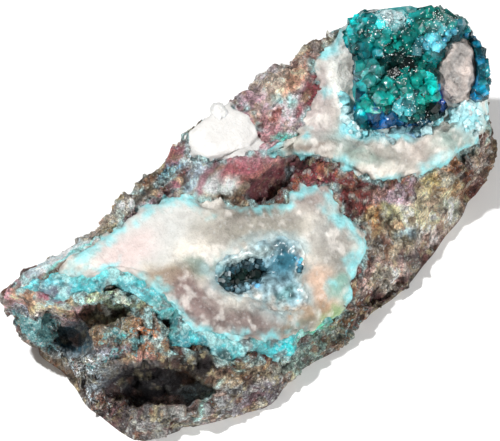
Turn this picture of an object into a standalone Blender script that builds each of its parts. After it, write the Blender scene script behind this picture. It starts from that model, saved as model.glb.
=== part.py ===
"""Dioptase on calcite and iron-stained matrix: one hand specimen, modelled at its real size.

Run it with  blender --background --python part.py  or from Blender's text editor.

The specimen is a wedge of broken rock, 25 degrees steeper at the back than at the front, so its
display face leans towards whoever looks at it. The face carries a pool and a sheet of white calcite,
and the dioptase grew on the sheet. Lengths are in millimetres until a mesh is stored in metres.

    X  along the specimen, from the broken end to the dioptase end
    Y  from the low front edge to the high back edge
    Z  up, with the flat trimmed base at Z = 0

Places on the display face are given as (right, up) in millimetres on a plane that faces the viewer,
which is how a collector would sketch the piece. display() and plan_of() go between the two.
"""

import math

import bmesh
import bpy
import numpy as np
from mathutils import Matrix, Vector
from mathutils.bvhtree import BVHTree

MM = 0.001  # metres in a millimetre

# ---------------------------------------------------------------- driving dimensions, millimetres
FACE_HEIGHT = 23.0  # height of the display face above the base, at Y = 0
FACE_SLOPE = 0.47  # rise of the display face for each millimetre towards the back
END_FALL_START = -36.0  # X at which the face starts to fall towards the broken end
END_FALL = 0.030  # how fast it falls, per millimetre squared
END_RISE_START = 30.0  # X at which the face starts to rise under the dioptase
END_RISE = 0.020  # how fast it rises, per millimetre squared
GAP = 0.3  # clear distance between two touching minerals
POOL_DEPTH = 9.0  # how deep the calcite pool reaches into the rock, seen by the viewer
SHEET_DEPTH = 8.0  # the same for the calcite sheet under the dioptase
PATCH_DEPTH = 4.5  # the same for the small white patch
CRUST_DEPTH = 3.0  # the same for the chrysocolla crust
POCKET_DEPTH = 6.5  # the same for the lining of the crystal pocket
PRISM_REACH = 60.0  # half length of the cutters, more than the specimen's thickness
GRID = (38, 18, 8)  # cells of the rock's skin along X, Y and Z

# Direction from the specimen to the viewer, and the two axes of the display plane.
VIEW_TURN = math.radians(-45)
VIEW_RISE = math.radians(52)
RIGHT = np.array([math.cos(VIEW_TURN), math.sin(VIEW_TURN), 0.0])
TO_VIEWER = np.array(
    [
        math.sin(VIEW_TURN) * math.cos(VIEW_RISE),
        -math.cos(VIEW_TURN) * math.cos(VIEW_RISE),
        math.sin(VIEW_RISE),
    ]
)
UP = np.cross(TO_VIEWER, RIGHT)
DISPLAY_MIDDLE = (-2.8, 7.8)  # where the middle of the display plane lies along RIGHT and UP

# Outline of the rock, as stations round it from the near left corner, anticlockwise from above:
# base x, base y, then the x, y and z of the rim where the wall meets the display face.
STATIONS = (
    (-48.4, -13.9, -38.0, -8.0, 18.5),
    (-38.0, -21.0, -34.5, -15.0, 15.5),
    (-28.0, -25.0, -27.5, -20.5, 12.5),
    (-17.6, -25.6, -18.5, -24.0, 9.5),
    (-7.3, -26.3, -8.6, -25.0, 8.5),
    (2.5, -26.0, 0.0, -23.5, 11.0),
    (14.0, -24.6, 10.0, -19.5, 13.5),
    (26.5, -23.0, 20.0, -14.5, 16.5),
    (36.5, -20.5, 32.0, -15.5, 16.0),
    (43.5, -18.0, 42.0, -15.6, 17.0),
    (52.0, -13.0, 50.5, -12.0, 22.0),
    (54.0, -5.0, 53.0, -5.0, 29.0),
    (53.0, 4.0, 51.0, 3.5, 33.0),
    (45.0, 17.0, 43.0, 11.0, 32.0),
    (30.0, 23.0, 30.0, 14.5, 30.0),
    (12.0, 25.0, 13.0, 16.0, 30.0),
    (-6.0, 25.0, -5.0, 16.6, 29.5),
    (-24.0, 24.5, -22.0, 15.0, 28.4),
    (-38.0, 24.0, -37.0, 13.5, 27.5),
    (-46.0, 22.0, -53.5, 19.5, 21.5),
    (-49.0, 16.0, -51.5, 14.0, 22.0),
    (-49.5, 8.0, -47.5, 8.5, 22.0),
    (-51.5, -3.0, -42.0, 1.5, 21.5),
)
CORNERS = (0, 10, 13, 19, 23)  # stations at the four corners, and the first one again
PLAN_MIDDLE = (0.0, -3.0)
CENTRING = (-1.0, 0.2, 0.0)  # moves the middle of the specimen's box over the origin
WALL_BULGE = 1.5  # how far the walls swell between base and rim
CRUST_RISE = 0.7  # how far the chrysocolla crust stands proud
CRUST_LUMPS = 0.6  # how far its lumps go up and down

# Forms on the rock, seen on the display plane: name, right, up, half width, half height, turn in
# degrees, rise towards the viewer, softness of the edge, and tilt along its own width and height.
ROCK_FORMS = (
    ("maroon block", 1.5, 11.5, 9.5, 3.2, 36, 2.6, 0.25, 0.10, -0.30),
    ("shaded step", 3.5, 7.5, 6.0, 4.0, 20, -1.4, 0.45, 0.0, 0.0),
    ("maroon bench", 14.5, 9.0, 7.0, 2.6, -12, 1.3, 0.35, 0.0, 0.0),
    ("brown saddle", 20.0, 4.0, 4.0, 4.5, 0, 1.0, 0.50, 0.0, 0.0),
    ("rusty shoulder", 6.0, 23.5, 9.5, 6.5, 28, 2.0, 0.40, 0.0, 0.0),
    ("rusty tooth", 14.5, 27.0, 2.5, 3.5, 0, 0.8, 0.30, 0.0, 0.0),
    ("end brow", -38.0, -14.0, 10.0, 3.0, -4, 1.4, 0.40, 0.0, 0.0),
    ("left hollow", -35.5, -23.5, 5.5, 3.6, -20, -4.2, 0.35, 0.0, 0.0),
    ("upper hollow", -28.0, -18.8, 5.0, 2.2, 8, -4.0, 0.35, 0.0, 0.0),
    ("rusty ledge", -23.5, -24.6, 8.8, 4.6, -4, 2.2, 0.20, 0.0, -0.20),
    ("lower hollow", -18.5, -33.0, 10.5, 3.9, -2, -5.0, 0.30, 0.0, 0.0),
    ("grey apron", -32.0, -31.5, 6.0, 5.5, -40, 1.8, 0.40, 0.0, 0.0),
    ("foot ridge", -15.0, -40.0, 12.0, 3.4, 12, 2.0, 0.35, 0.0, 0.0),
    ("front lip", 2.0, -34.5, 9.0, 3.2, 22, 1.4, 0.40, 0.0, 0.0),
    ("right hollow", 26.5, -13.6, 4.0, 1.8, 38, -3.0, 0.35, 0.0, 0.0),
    ("ochre wall", 33.0, -0.5, 8.0, 6.5, 30, 1.2, 0.60, 0.0, 0.0),
    ("brown horn", 45.5, 13.2, 4.2, 3.2, 50, 2.4, 0.35, 0.0, 0.0),
    ("crack", 27.8, -1.5, 2.6, 0.8, -52, -1.4, 0.40, 0.0, 0.0),
)

# Forms of the calcite, in the same columns.
CALCITE_FORMS = (
    ("pool swell", -12.0, -4.0, 20.0, 7.0, 10, 1.2, 0.70, 0.0, 0.0),
    ("left lump", -14.5, -13.0, 4.4, 3.4, -30, 1.5, 0.55, 0.0, 0.0),
    ("middle lump", -7.6, -17.2, 4.6, 3.6, -20, 1.7, 0.50, 0.0, 0.0),
    ("low lump", 1.0, -20.0, 5.0, 2.4, 8, 1.6, 0.50, 0.0, 0.0),
    ("right lump", 11.0, -19.3, 5.0, 2.6, 10, 1.3, 0.50, 0.0, 0.0),
    ("peach lump", 14.6, -12.8, 4.2, 4.4, 0, 1.4, 0.55, 0.0, 0.0),
    ("right ridge", 18.5, -6.6, 4.6, 2.6, 20, 1.4, 0.50, 0.0, 0.0),
    ("neck", 12.5, 1.8, 5.0, 5.0, 0, 0.8, 0.60, 0.0, 0.0),
    ("sheet left arm", 14.5, 21.0, 3.5, 11.0, -18, 1.4, 0.60, 0.0, 0.0),
    ("sheet lobe 1", 14.0, 14.4, 6.0, 2.6, -8, 1.5, 0.45, 0.0, 0.0),
    ("sheet lobe 2", 25.0, 12.4, 5.0, 4.0, 10, 2.2, 0.45, 0.0, 0.0),
    ("sheet lobe 3", 36.0, 14.4, 6.0, 3.4, 20, 2.0, 0.45, 0.0, 0.0),
    ("sheet corner", 44.5, 18.5, 4.0, 5.0, -20, 1.2, 0.50, 0.0, 0.0),
    ("white patch", -5.5, 18.6, 7.0, 5.4, 30, 2.2, 0.50, 0.0, 0.0),
    ("crystal pocket", -1.4, -10.9, 5.0, 3.0, 12, -4.0, 0.40, 0.0, 0.0),
    ("blue slope", 6.4, -9.9, 4.2, 5.2, -8, -2.2, 0.45, 0.0, 0.0),
    ("pocket lip", 7.6, -16.6, 3.4, 1.6, 10, -1.0, 0.50, 0.0, 0.0),
)

# Outlines of the minerals on the display plane, (right, up), clockwise from the left.
POOL_OUTLINE = (
    (-37.5, -10.3), (-30.0, -4.5), (-22.0, 1.3), (-13.0, 4.8), (-9.0, 3.0), (-1.0, 3.1),
    (7.0, 3.6), (8.8, 6.6), (15.6, 6.8), (18.0, 2.0), (23.5, -4.0), (22.4, -8.3),
    (20.0, -13.0), (20.4, -18.2), (15.0, -20.9), (8.0, -22.8), (0.0, -23.4), (-8.0, -22.8),
    (-13.4, -19.5), (-17.0, -15.5), (-20.5, -11.6), (-27.0, -10.4), (-32.0, -11.8),
)
SHEET_OUTLINE = (
    (13.5, 31.0), (17.0, 36.5), (20.0, 41.0), (26.0, 45.0), (38.0, 45.0), (46.0, 39.0),
    (48.2, 31.0), (49.2, 24.0), (48.0, 17.5), (44.0, 13.2), (38.0, 11.0), (30.5, 7.4), (25.0, 7.0),
    (21.5, 9.8), (16.0, 10.8), (9.5, 12.0), (3.0, 14.0), (8.5, 16.5), (11.5, 19.5),
    (14.6, 24.5), (15.0, 28.0),
)
PATCH_OUTLINE = (
    (-12.4, 15.0), (-12.0, 18.0), (-9.6, 21.6), (-8.6, 24.4), (-5.4, 25.0), (-3.6, 23.4),
    (-1.0, 22.4), (0.6, 18.6), (2.2, 16.2), (0.2, 14.2), (-4.0, 12.8), (-9.0, 12.2),
)
CRUST_OUTLINE = (
    (-47.0, -13.2), (-42.0, -11.4), (-35.5, -10.2), (-31.0, -10.0), (-26.0, -8.6),
    (-20.0, -9.6), (-15.0, -13.0), (-11.5, -17.0), (-6.0, -20.5), (2.0, -21.0), (8.0, -20.4),
    (14.0, -18.6), (17.6, -18.4), (19.2, -20.4), (17.6, -22.4), (14.0, -25.0),
    (10.4, -26.4), (8.0, -27.6), (4.4, -26.4), (0.8, -27.0), (-2.8, -28.6), (-6.6, -28.8),
    (-10.0, -27.6), (-14.0, -26.2), (-17.2, -24.0), (-19.8, -21.8), (-21.4, -17.6),
    (-24.4, -15.4), (-30.0, -15.8), (-35.0, -15.6), (-40.0, -15.2), (-44.0, -14.8),
)
POCKET_OUTLINE = (
    (-7.4, -9.5), (-5.6, -7.1), (-2.0, -5.9), (2.4, -4.3), (7.0, -3.9), (10.0, -5.1),
    (10.8, -8.3), (10.0, -11.9), (10.6, -15.9), (9.2, -18.3), (5.6, -18.3), (2.4, -16.3),
    (0.0, -15.1), (-3.6, -14.3), (-6.4, -13.5),
)
WHITES = (POOL_OUTLINE, SHEET_OUTLINE, PATCH_OUTLINE)


def curve_through(points, steps):
    """A closed Catmull-Rom curve through the points, sampled at steps places in each span."""
    p1 = np.asarray(points, float)
    p0, p2, p3 = np.roll(p1, 1, 0), np.roll(p1, -1, 0), np.roll(p1, -2, 0)
    t = (np.arange(steps) / steps)[None, :, None]
    p0, p1, p2, p3 = (p[:, None, :] for p in (p0, p1, p2, p3))
    curve = 0.5 * (
        2 * p1
        + (p2 - p0) * t
        + (2 * p0 - 5 * p1 + 4 * p2 - p3) * t**2
        + (3 * p1 - p0 - 3 * p2 + p3) * t**3
    )
    return curve.reshape(-1, curve.shape[-1])


def smooth(x):
    """0 below 0, 1 above 1, and an S-curve between."""
    x = np.clip(x, 0.0, 1.0)
    return x * x * (3 - 2 * x)


def lattice_values(cells, seed):
    """A repeatable random number from -1 to 1 for each whole-numbered cell."""
    x, y, z = (cells[..., i].astype(np.int64) for i in range(3))
    n = (x * 374761393 + y * 668265263 + z * 1274126177 + seed * 974634777) & 0xFFFFFFFF
    n = ((n ^ (n >> 13)) * 1103515245) & 0xFFFFFFFF
    return ((n ^ (n >> 16)) & 0xFFFF) / 32767.5 - 1.0


def noise(points, size, seed):
    """Smooth value noise, -1 to 1, whose lumps are about size across."""
    q = points / size
    base = np.floor(q)
    f = q - base
    f = f * f * (3 - 2 * f)
    total = 0.0
    for corner in np.ndindex(2, 2, 2):
        weight = np.prod(np.where(np.array(corner) == 1, f, 1 - f), axis=-1)
        total = total + weight * lattice_values(base + np.array(corner), seed)
    return total


def display(points):
    """(right, up) of each point on the display plane."""
    return np.stack(
        [points @ RIGHT - DISPLAY_MIDDLE[0], points @ UP - DISPLAY_MIDDLE[1]], axis=-1
    )


def face_height(x, y):
    """Height of the smooth display face over the plan: a slope that falls at one end and rises at the other."""
    fall = END_FALL * np.clip(END_FALL_START - x, 0, None) ** 2
    rise = END_RISE * np.clip(x - END_RISE_START, 0, None) ** 2
    return FACE_HEIGHT + FACE_SLOPE * y - fall + rise


def plan_of(right, up):
    """The point of the display face that a viewer sees at (right, up), found by a few rounds."""
    across = right + DISPLAY_MIDDLE[0]
    level = up + DISPLAY_MIDDLE[1]
    away = np.zeros_like(across)
    for _ in range(12):
        x = across * RIGHT[0] + away * -RIGHT[1]
        y = across * RIGHT[1] + away * RIGHT[0]
        z = face_height(x, y)
        away = (level - z * UP[2]) / math.sin(VIEW_RISE)
    return np.stack([x, y, z], axis=-1)


def inside(outline, places):
    """Signed distance from each place to the outline's edge, positive inside."""
    a = curve_through(outline, 6)
    b = np.roll(a, -1, 0)
    edge = b - a
    rel = places[:, None, :] - a[None]
    t = np.clip((rel * edge).sum(-1) / (edge * edge).sum(-1), 0, 1)
    near = np.linalg.norm(rel - t[..., None] * edge, axis=-1).min(1)
    crosses = (a[:, 1] > places[:, None, 1]) != (b[:, 1] > places[:, None, 1])
    slope = edge[:, 0] / np.where(edge[:, 1] == 0, 1e-9, edge[:, 1])
    at = a[:, 0] + (places[:, None, 1] - a[:, 1]) * slope
    odd = (crosses & (places[:, None, 0] < at)).sum(1) % 2 == 1
    return np.where(odd, near, -near)


def form_rise(form, places):
    """How far one form stands towards the viewer at each place of the display plane."""
    _, right, up, wide, high, turn, rise, soft, tilt_wide, tilt_high = form
    c, s = math.cos(math.radians(turn)), math.sin(math.radians(turn))
    dx, dy = places[:, 0] - right, places[:, 1] - up
    along, across = dx * c + dy * s, dy * c - dx * s
    far = np.hypot(along / wide, across / high)
    share = smooth((1 + soft - far) / (2 * soft))
    return share * (rise + tilt_wide * along + tilt_high * across)


def share_inside(outlines, places):
    """1 well inside any of the outlines, 0 outside, with a millimetre or so of change at the edge."""
    depth = np.max([inside(outline, places) for outline in outlines], 0)
    return smooth(depth / 1.5 + 0.3)


def skin(cube):
    """Maps points on the cube from -1 to 1 onto the specimen: walls, display face and flat base."""
    qx, qy, qz = cube.T
    stations = np.array(STATIONS)
    count = len(stations)
    reach = np.maximum(np.abs(qx), np.abs(qy))
    safe = np.where(reach == 0, 1, reach)
    ex, ey = qx / safe, qy / safe
    side = np.select(
        [ey <= -1 + 1e-6, ex >= 1 - 1e-6, ey >= 1 - 1e-6],
        [(ex + 1) / 2, 1 + (ey + 1) / 2, 2 + (1 - ex) / 2],
        3 + (1 - ey) / 2,
    )
    steps = 16
    knot = np.interp(side, range(5), CORNERS) * steps
    table = curve_through(stations, steps)
    ring = table[np.round(knot).astype(int) % (count * steps)]
    rise = (qz + 1) / 2
    middle = np.array(PLAN_MIDDLE)
    on_top, on_base = qz > 1 - 1e-6, qz < -1 + 1e-6
    # Walls: from base to rim, swelling a little on the way.
    out = ring[:, :2] - middle
    out = out / np.linalg.norm(out, axis=1, keepdims=True)
    wall = ring[:, :2] + (ring[:, 2:4] - ring[:, :2]) * rise[:, None]
    wall = wall + out * (WALL_BULGE * np.sin(np.pi * rise))[:, None]
    # Face and base: the rim or the base outline, shrunk towards the middle.
    rim = middle + (ring[:, 2:4] - middle) * reach[:, None]
    foot = middle + (ring[:, :2] - middle) * reach[:, None]
    plan = np.where(on_top[:, None], rim, np.where(on_base[:, None], foot, wall))
    drop = ring[:, 4] - face_height(ring[:, 2], ring[:, 3])
    top = face_height(plan[:, 0], plan[:, 1]) + drop * reach**6
    height = np.where(on_top, top, np.where(on_base, 0.0, ring[:, 4] * rise))
    return np.column_stack([plan, height])


def weather(points):
    """Moves the smooth skin into its broken shape: forms towards the viewer, lumps outwards."""
    places = display(points)
    white = share_inside(WHITES, places)
    blue = share_inside((CRUST_OUTLINE,), places) * (1 - white)
    core = np.column_stack(
        [np.clip(points[:, 0], -36, 36), np.full(len(points), -1.0), np.full(len(points), 11.0)]
    )
    out = points - core
    out = out / np.linalg.norm(out, axis=1, keepdims=True)
    seen = smooth((out @ TO_VIEWER) * 1.6 + 0.45)
    rock = sum(form_rise(f, places) for f in ROCK_FORMS)
    pale = sum(form_rise(f, places) for f in CALCITE_FORMS)
    crust = CRUST_RISE + CRUST_LUMPS * noise(points, 4.0, 14)
    forms = rock * (1 - white) + pale * white + crust * blue
    lumps = 1.3 * noise(points, 13.0, 3) + 0.8 * noise(points, 6.0, 5)
    lumps = lumps + 0.7 * np.abs(noise(points, 9.0, 8))
    lumps = lumps * (1 - 0.75 * white)
    broken = 2.4 * noise(points, 15.0, 2) - 1.5 * np.abs(noise(points, 10.0, 6))
    lumps = lumps + broken * (1 - seen)
    moved = points + TO_VIEWER * (forms * seen)[:, None] + out * lumps[:, None]
    low = smooth(points[:, 2] / 3.0)
    moved[:, 2] = points[:, 2] + (moved[:, 2] - points[:, 2]) * low
    moved[:, 2] = np.where(points[:, 2] <= 1e-6, 0.0, np.maximum(moved[:, 2], 0.3))
    return moved


# ------------------------------------------------------------------------------------ crystals
# Mounds that the dioptase grew in: right, up, half width, half height, turn in degrees, rise.
MOUNDS = (
    (28.2, 36.2, 8.6, 5.6, -8, 5.6),
    (24.8, 25.2, 5.4, 7.0, -4, 4.6),
    (33.2, 25.6, 6.2, 6.8, -14, 5.4),
    (38.4, 37.0, 7.0, 5.0, -30, 4.4),
    (33.6, 31.4, 6.4, 4.6, 0, 3.8),
    (45.4, 30.4, 2.6, 6.6, 12, 3.0),
)
CRYSTALS_PER_MOUND = (15, 10, 12, 12, 5, 7)
CRYSTAL_RADIUS = (1.2, 2.3)  # smallest and largest
CRYSTAL_SHAPE = 1.9  # length over radius
LOWEST_CRYSTAL = 0.36  # where the lowest crystals stand on a mound, as a share of its rise
TIP_SLOPE = 0.84  # fall of the tip faces, over the radius
CRYSTAL_TILT = 0.28  # how far, in radians, the crystals lean from square to their mound
MOUND_LUMPS = 0.3  # how far a mound's own surface goes up and down
KNOB = (41.8, 29.8, 3.3, 6.4, -10, 4.2)  # the calcite that stands out among the dioptase
KNOB_SINK = 1.0  # how deep its middle lies below the sheet
KNOB_CLEARANCE = 1.15  # no crystal stands nearer its middle than this share of its half width
NUB = (-6.4, 21.2, 1.4, 2.0, 10, 1.8)  # the small clear lump on the white patch
NUB_SINK = 0.6
POCKET = (2.0, -10.3, 7.4, 4.0, 14)  # where small crystals stand: right, up, half sizes, turn
POCKET_CRYSTALS = 13
POCKET_RADIUS = (0.8, 1.2)
POCKET_TILT = 0.35
GOLDEN_ANGLE = math.pi * (3 - math.sqrt(5))


def new_mesh(name, bm):
    """Stores a bmesh drawn in millimetres as a mesh in metres, over the middle of the base."""
    bmesh.ops.recalc_face_normals(bm, faces=bm.faces)
    bm.transform(Matrix.Scale(MM, 4) @ Matrix.Translation(CENTRING))
    mesh = bpy.data.meshes.new(name)
    bm.to_mesh(mesh)
    bm.free()
    return mesh


def helper(name, mesh, collection):
    """An object that only cuts or joins others, kept out of the render."""
    obj = bpy.data.objects.new(name, mesh)
    obj.hide_render = True
    obj.display_type = "WIRE"
    collection.objects.link(obj)
    return obj


def whole_rock():
    """The specimen's outside in millimetres: a cut-up cube mapped onto skin() and weathered."""
    bm = bmesh.new()
    bmesh.ops.create_cube(bm, size=2)
    for axis, cells in enumerate(GRID):
        normal = [0, 0, 0]
        normal[axis] = 1
        for i in range(1, cells):
            place = [0, 0, 0]
            place[axis] = -1 + 2 * i / cells
            everything = bm.verts[:] + bm.edges[:] + bm.faces[:]
            bmesh.ops.bisect_plane(bm, geom=everything, plane_co=place, plane_no=normal)
    cube = np.array([v.co for v in bm.verts])
    for vert, point in zip(bm.verts, weather(skin(cube))):
        vert.co = point
    flat = [f for f in bm.faces if all(v.co.z < 1e-6 for v in f.verts)]
    bmesh.ops.dissolve_faces(bm, faces=flat)
    return bm


def seat(tree, right, up):
    """The point of the weathered rock that the viewer sees at (right, up)."""
    plane = RIGHT * (right + DISPLAY_MIDDLE[0]) + UP * (up + DISPLAY_MIDDLE[1])
    hit = tree.ray_cast(Vector(plane + TO_VIEWER * 200), Vector(-TO_VIEWER))[0]
    return np.array(hit)


def display_frame(middle):
    """The matrix whose axes are right, up and towards the viewer, with its origin at middle."""
    frame = Matrix([RIGHT, UP, TO_VIEWER]).transposed().to_4x4()
    frame.translation = Vector(middle)
    return frame


def prism(name, outline, depth, grow, collection):
    """A cutter with the outline's shape that runs towards the viewer from a flat floor, depth below the face."""
    ring = curve_through(outline, 2)
    along = np.roll(ring, -1, 0) - np.roll(ring, 1, 0)
    sideways = np.column_stack([-along[:, 1], along[:, 0]])
    sideways = sideways / np.linalg.norm(sideways, axis=1, keepdims=True)
    ring = ring + sideways * grow
    curve = bpy.data.curves.new(name, "CURVE")
    curve.dimensions = "2D"
    curve.fill_mode = "BOTH"
    curve.extrude = PRISM_REACH
    spline = curve.splines.new("POLY")
    spline.points.add(len(ring) - 1)
    for point, (right, up) in zip(spline.points, ring):
        point.co = (right + DISPLAY_MIDDLE[0], up + DISPLAY_MIDDLE[1], 0, 1)
    spline.use_cyclic_u = True
    guide = bpy.data.objects.new(name, curve)
    guide.matrix_world = display_frame((0, 0, 0))
    collection.objects.link(guide)
    graph = bpy.context.evaluated_depsgraph_get()
    mesh = bpy.data.meshes.new_from_object(guide.evaluated_get(graph))
    bm = bmesh.new()
    bm.from_mesh(mesh)
    bmesh.ops.remove_doubles(bm, verts=bm.verts, dist=0.0001)
    bm.transform(guide.matrix_world)
    bpy.data.objects.remove(guide)
    bpy.data.meshes.remove(mesh)
    # The floor is the plane that fits the face along the outline best.
    face = plan_of(ring[:, 0], ring[:, 1])
    table = np.column_stack([face[:, :2], np.ones(len(face))])
    slope_x, slope_y, height = np.linalg.lstsq(table, face[:, 2], rcond=None)[0]
    on_floor = np.array([0.0, 0.0, height]) - TO_VIEWER * (depth + grow)
    everything = bm.verts[:] + bm.edges[:] + bm.faces[:]
    cut = bmesh.ops.bisect_plane(
        bm, geom=everything, plane_co=on_floor, plane_no=(-slope_x, -slope_y, 1), clear_inner=True
    )["geom_cut"]
    bmesh.ops.edgeloop_fill(bm, edges=[e for e in cut if isinstance(e, bmesh.types.BMEdge)])
    return helper(name, new_mesh(name, bm), collection)


def crystal(name, place, axis, spin, radius, collection):
    """A six-sided prism with a three-faced tip, its root at place and its tip along axis."""
    length = radius * CRYSTAL_SHAPE
    bm = bmesh.new()
    made = bmesh.ops.create_cone(
        bm, cap_ends=True, segments=6, radius1=radius, radius2=radius, depth=length
    )["verts"]
    top = [v for v in made if v.co.z > 0]
    top.sort(key=lambda v: math.atan2(v.co.y, v.co.x))
    # Each tip face holds one corner at the full fall, and two at half of it.
    for i, v in enumerate(top):
        v.co.z = length / 2 - radius * TIP_SLOPE * (0.5 if i % 2 else 1.0)
    cap = next(f for f in bm.faces if all(v in top for v in f.verts))
    tip = bmesh.ops.poke(bm, faces=[cap])["verts"][0]
    tip.co = (0, 0, length / 2)
    turn = Vector((0, 0, 1)).rotation_difference(Vector(axis)).to_matrix().to_4x4()
    bm.transform(Matrix.Translation(Vector(place)) @ turn @ Matrix.Rotation(spin, 4, "Z"))
    helper(name, new_mesh(name, bm), collection)


def mound_frame(shape, middle):
    """The matrix that takes a unit ball to the mound: squashed, turned and facing the viewer."""
    _, _, wide, high, turn, rise = shape
    spin = Matrix.Rotation(math.radians(turn), 4, "Z")
    return display_frame(middle) @ spin @ Matrix.Diagonal((wide, high, rise, 1))


def mound(name, shape, middle, grow, collection):
    """A lumpy squashed ball that faces the viewer, as a helper."""
    bm = bmesh.new()
    matrix = mound_frame(shape, middle)
    made = bmesh.ops.create_icosphere(bm, subdivisions=2, radius=1, matrix=matrix)["verts"]
    points = np.array([v.co for v in made])
    out = points - middle
    out = out / np.linalg.norm(out, axis=1, keepdims=True)
    moved = points + out * (grow + MOUND_LUMPS * noise(points, 3.5, 20))[:, None]
    for v, p in zip(made, moved):
        v.co = p
    return helper(name, new_mesh(name, bm), collection)


def dioptase_bodies(tree, collection):
    """The mounds and the crystals on them, clear of the knob, for one Boolean union."""
    rng = np.random.default_rng(7)
    knob = mound_frame(KNOB, seat(tree, KNOB[0], KNOB[1]))
    for n, (shape, count) in enumerate(zip(MOUNDS, CRYSTALS_PER_MOUND)):
        middle = seat(tree, shape[0], shape[1])
        matrix = mound_frame(shape, middle)
        mound(f"mound_{n}", shape, middle, 0.0, collection)
        across = matrix.inverted().transposed().to_3x3()
        for i in range(count):
            height = 0.98 - (0.98 - LOWEST_CRYSTAL) * (i + 0.5) / count
            ring = math.sqrt(1 - height * height)
            turn = i * GOLDEN_ANGLE
            spot = Vector((ring * math.cos(turn), ring * math.sin(turn), height))
            normal = np.array((across @ spot).normalized())
            radius = rng.uniform(*CRYSTAL_RADIUS)
            root = np.array(matrix @ spot) - normal * radius * 0.1
            axis = normal + rng.normal(0, CRYSTAL_TILT, 3)
            if np.linalg.norm(np.array(knob.inverted() @ Vector(root))[:2]) < KNOB_CLEARANCE:
                continue
            crystal(f"crystal_{n}_{i}", root, axis, rng.uniform(0, 1), radius, collection)


def pocket_bodies(tree, collection):
    """The crystals that stand in the pocket, for one Boolean union with its lining."""
    rng = np.random.default_rng(11)
    right, up, wide, high, turn = POCKET
    c, s = math.cos(math.radians(turn)), math.sin(math.radians(turn))
    for i in range(POCKET_CRYSTALS):
        ring = math.sqrt((i + 0.5) / POCKET_CRYSTALS)
        along = ring * wide * math.cos(i * GOLDEN_ANGLE)
        across = ring * high * math.sin(i * GOLDEN_ANGLE)
        place = seat(tree, right + along * c - across * s, up + along * s + across * c)
        axis = TO_VIEWER + rng.normal(0, POCKET_TILT, 3)
        radius = rng.uniform(*POCKET_RADIUS)
        crystal(f"pocket_{i}", place, axis, rng.uniform(0, 1), radius, collection)


def finish(name, mesh, colour, roughness, transmission, collection):
    """A piece with its own material."""
    obj = bpy.data.objects.new(name, mesh)
    material = bpy.data.materials.new(name)
    material.use_nodes = True
    shader = material.node_tree.nodes["Principled BSDF"]
    shader.inputs["Base Color"].default_value = (*colour, 1)
    shader.inputs["Roughness"].default_value = roughness
    shader.inputs["Transmission Weight"].default_value = transmission
    obj.data.materials.append(material)
    collection.objects.link(obj)
    return obj


def boolean(obj, operation, other):
    """Adds one Boolean modifier that takes an object, or a whole collection."""
    modifier = obj.modifiers.new(operation.lower(), "BOOLEAN")
    modifier.operation = operation
    if isinstance(other, bpy.types.Collection):
        modifier.operand_type = "COLLECTION"
        modifier.collection = other
    else:
        modifier.object = other


# Minerals cut from the one weathered shape, so that each follows its neighbours: name, outline,
# depth, colour, roughness, and the mineral whose bed is cut out of it.
MINERALS = (
    ("pocket_crystals", POCKET_OUTLINE, POCKET_DEPTH, (0.02, 0.12, 0.16), 0.15, None),
    ("calcite_pool", POOL_OUTLINE, POOL_DEPTH, (0.80, 0.74, 0.68), 0.5, "pocket_crystals"),
    ("chrysocolla_crust", CRUST_OUTLINE, CRUST_DEPTH, (0.10, 0.55, 0.55), 0.5, "calcite_pool"),
    ("calcite_sheet", SHEET_OUTLINE, SHEET_DEPTH, (0.80, 0.74, 0.68), 0.5, None),
    ("white_patch", PATCH_OUTLINE, PATCH_DEPTH, (0.85, 0.83, 0.80), 0.4, None),
)


def main():
    for obj in list(bpy.data.objects):
        bpy.data.objects.remove(obj, do_unlink=True)
    names = ("dioptase specimen", "cutters", "dioptase crystals", "small crystals")
    pieces, cutters, large, small = (bpy.data.collections.new(name) for name in names)
    for collection in (pieces, cutters, large, small):
        bpy.context.scene.collection.children.link(collection)

    shape = whole_rock()
    tree = BVHTree.FromBMesh(shape)
    rock = new_mesh("whole_rock", shape)
    above = helper("rock_above", rock, cutters)
    above.location = np.array([0.6, 0.1, 1.1]) * GAP * MM
    dioptase_bodies(tree, large)
    pocket_bodies(tree, small)
    knob_seat = seat(tree, KNOB[0], KNOB[1]) - TO_VIEWER * KNOB_SINK
    knob = mound("knob", KNOB, knob_seat, 0.0, cutters)
    knob_bed = mound("knob_bed", KNOB, knob_seat, GAP, cutters)
    nub_seat = seat(tree, NUB[0], NUB[1]) - TO_VIEWER * NUB_SINK
    nub = mound("nub", NUB, nub_seat, 0.0, cutters)
    grown = {"calcite_sheet": knob, "white_patch": nub, "pocket_crystals": small}

    matrix = finish("matrix_rock", rock.copy(), (0.16, 0.08, 0.06), 0.8, 0.0, pieces)
    beds = {}
    for name, outline, depth, colour, roughness, neighbour in MINERALS:
        piece = finish(name, rock.copy(), colour, roughness, 0.0, pieces)
        boolean(piece, "INTERSECT", prism(f"{name}_edge", outline, depth, 0.0, cutters))
        if neighbour:
            boolean(piece, "DIFFERENCE", beds[neighbour])
        if name in grown:
            boolean(piece, "UNION", grown[name])
        beds[name] = prism(f"{name}_bed", outline, depth, GAP, cutters)
        boolean(matrix, "DIFFERENCE", beds[name])

    first = bpy.data.objects["mound_0"]
    large.objects.unlink(first)
    cluster = finish("dioptase_cluster", first.data, (0.0, 0.25, 0.2), 0.1, 0.4, pieces)
    bpy.data.objects.remove(first)
    boolean(cluster, "UNION", large)
    boolean(cluster, "DIFFERENCE", above)
    boolean(cluster, "DIFFERENCE", knob_bed)


main()
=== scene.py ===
# %% [markdown]
# # Dioptase on calcite: dressing one hand specimen
#
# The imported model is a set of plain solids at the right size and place: a wedge of iron-stained
# rock, three bodies of white calcite, a crust of turquoise chrysocolla, a cluster of green dioptase
# and a small pocket of dark crystals. This lesson gives each of them the surface and the colour of
# the real mineral. Lengths are in millimetres until a mesh is stored in metres.
#
# The solids come in first, because everything that follows is built around them.

import math

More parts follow.
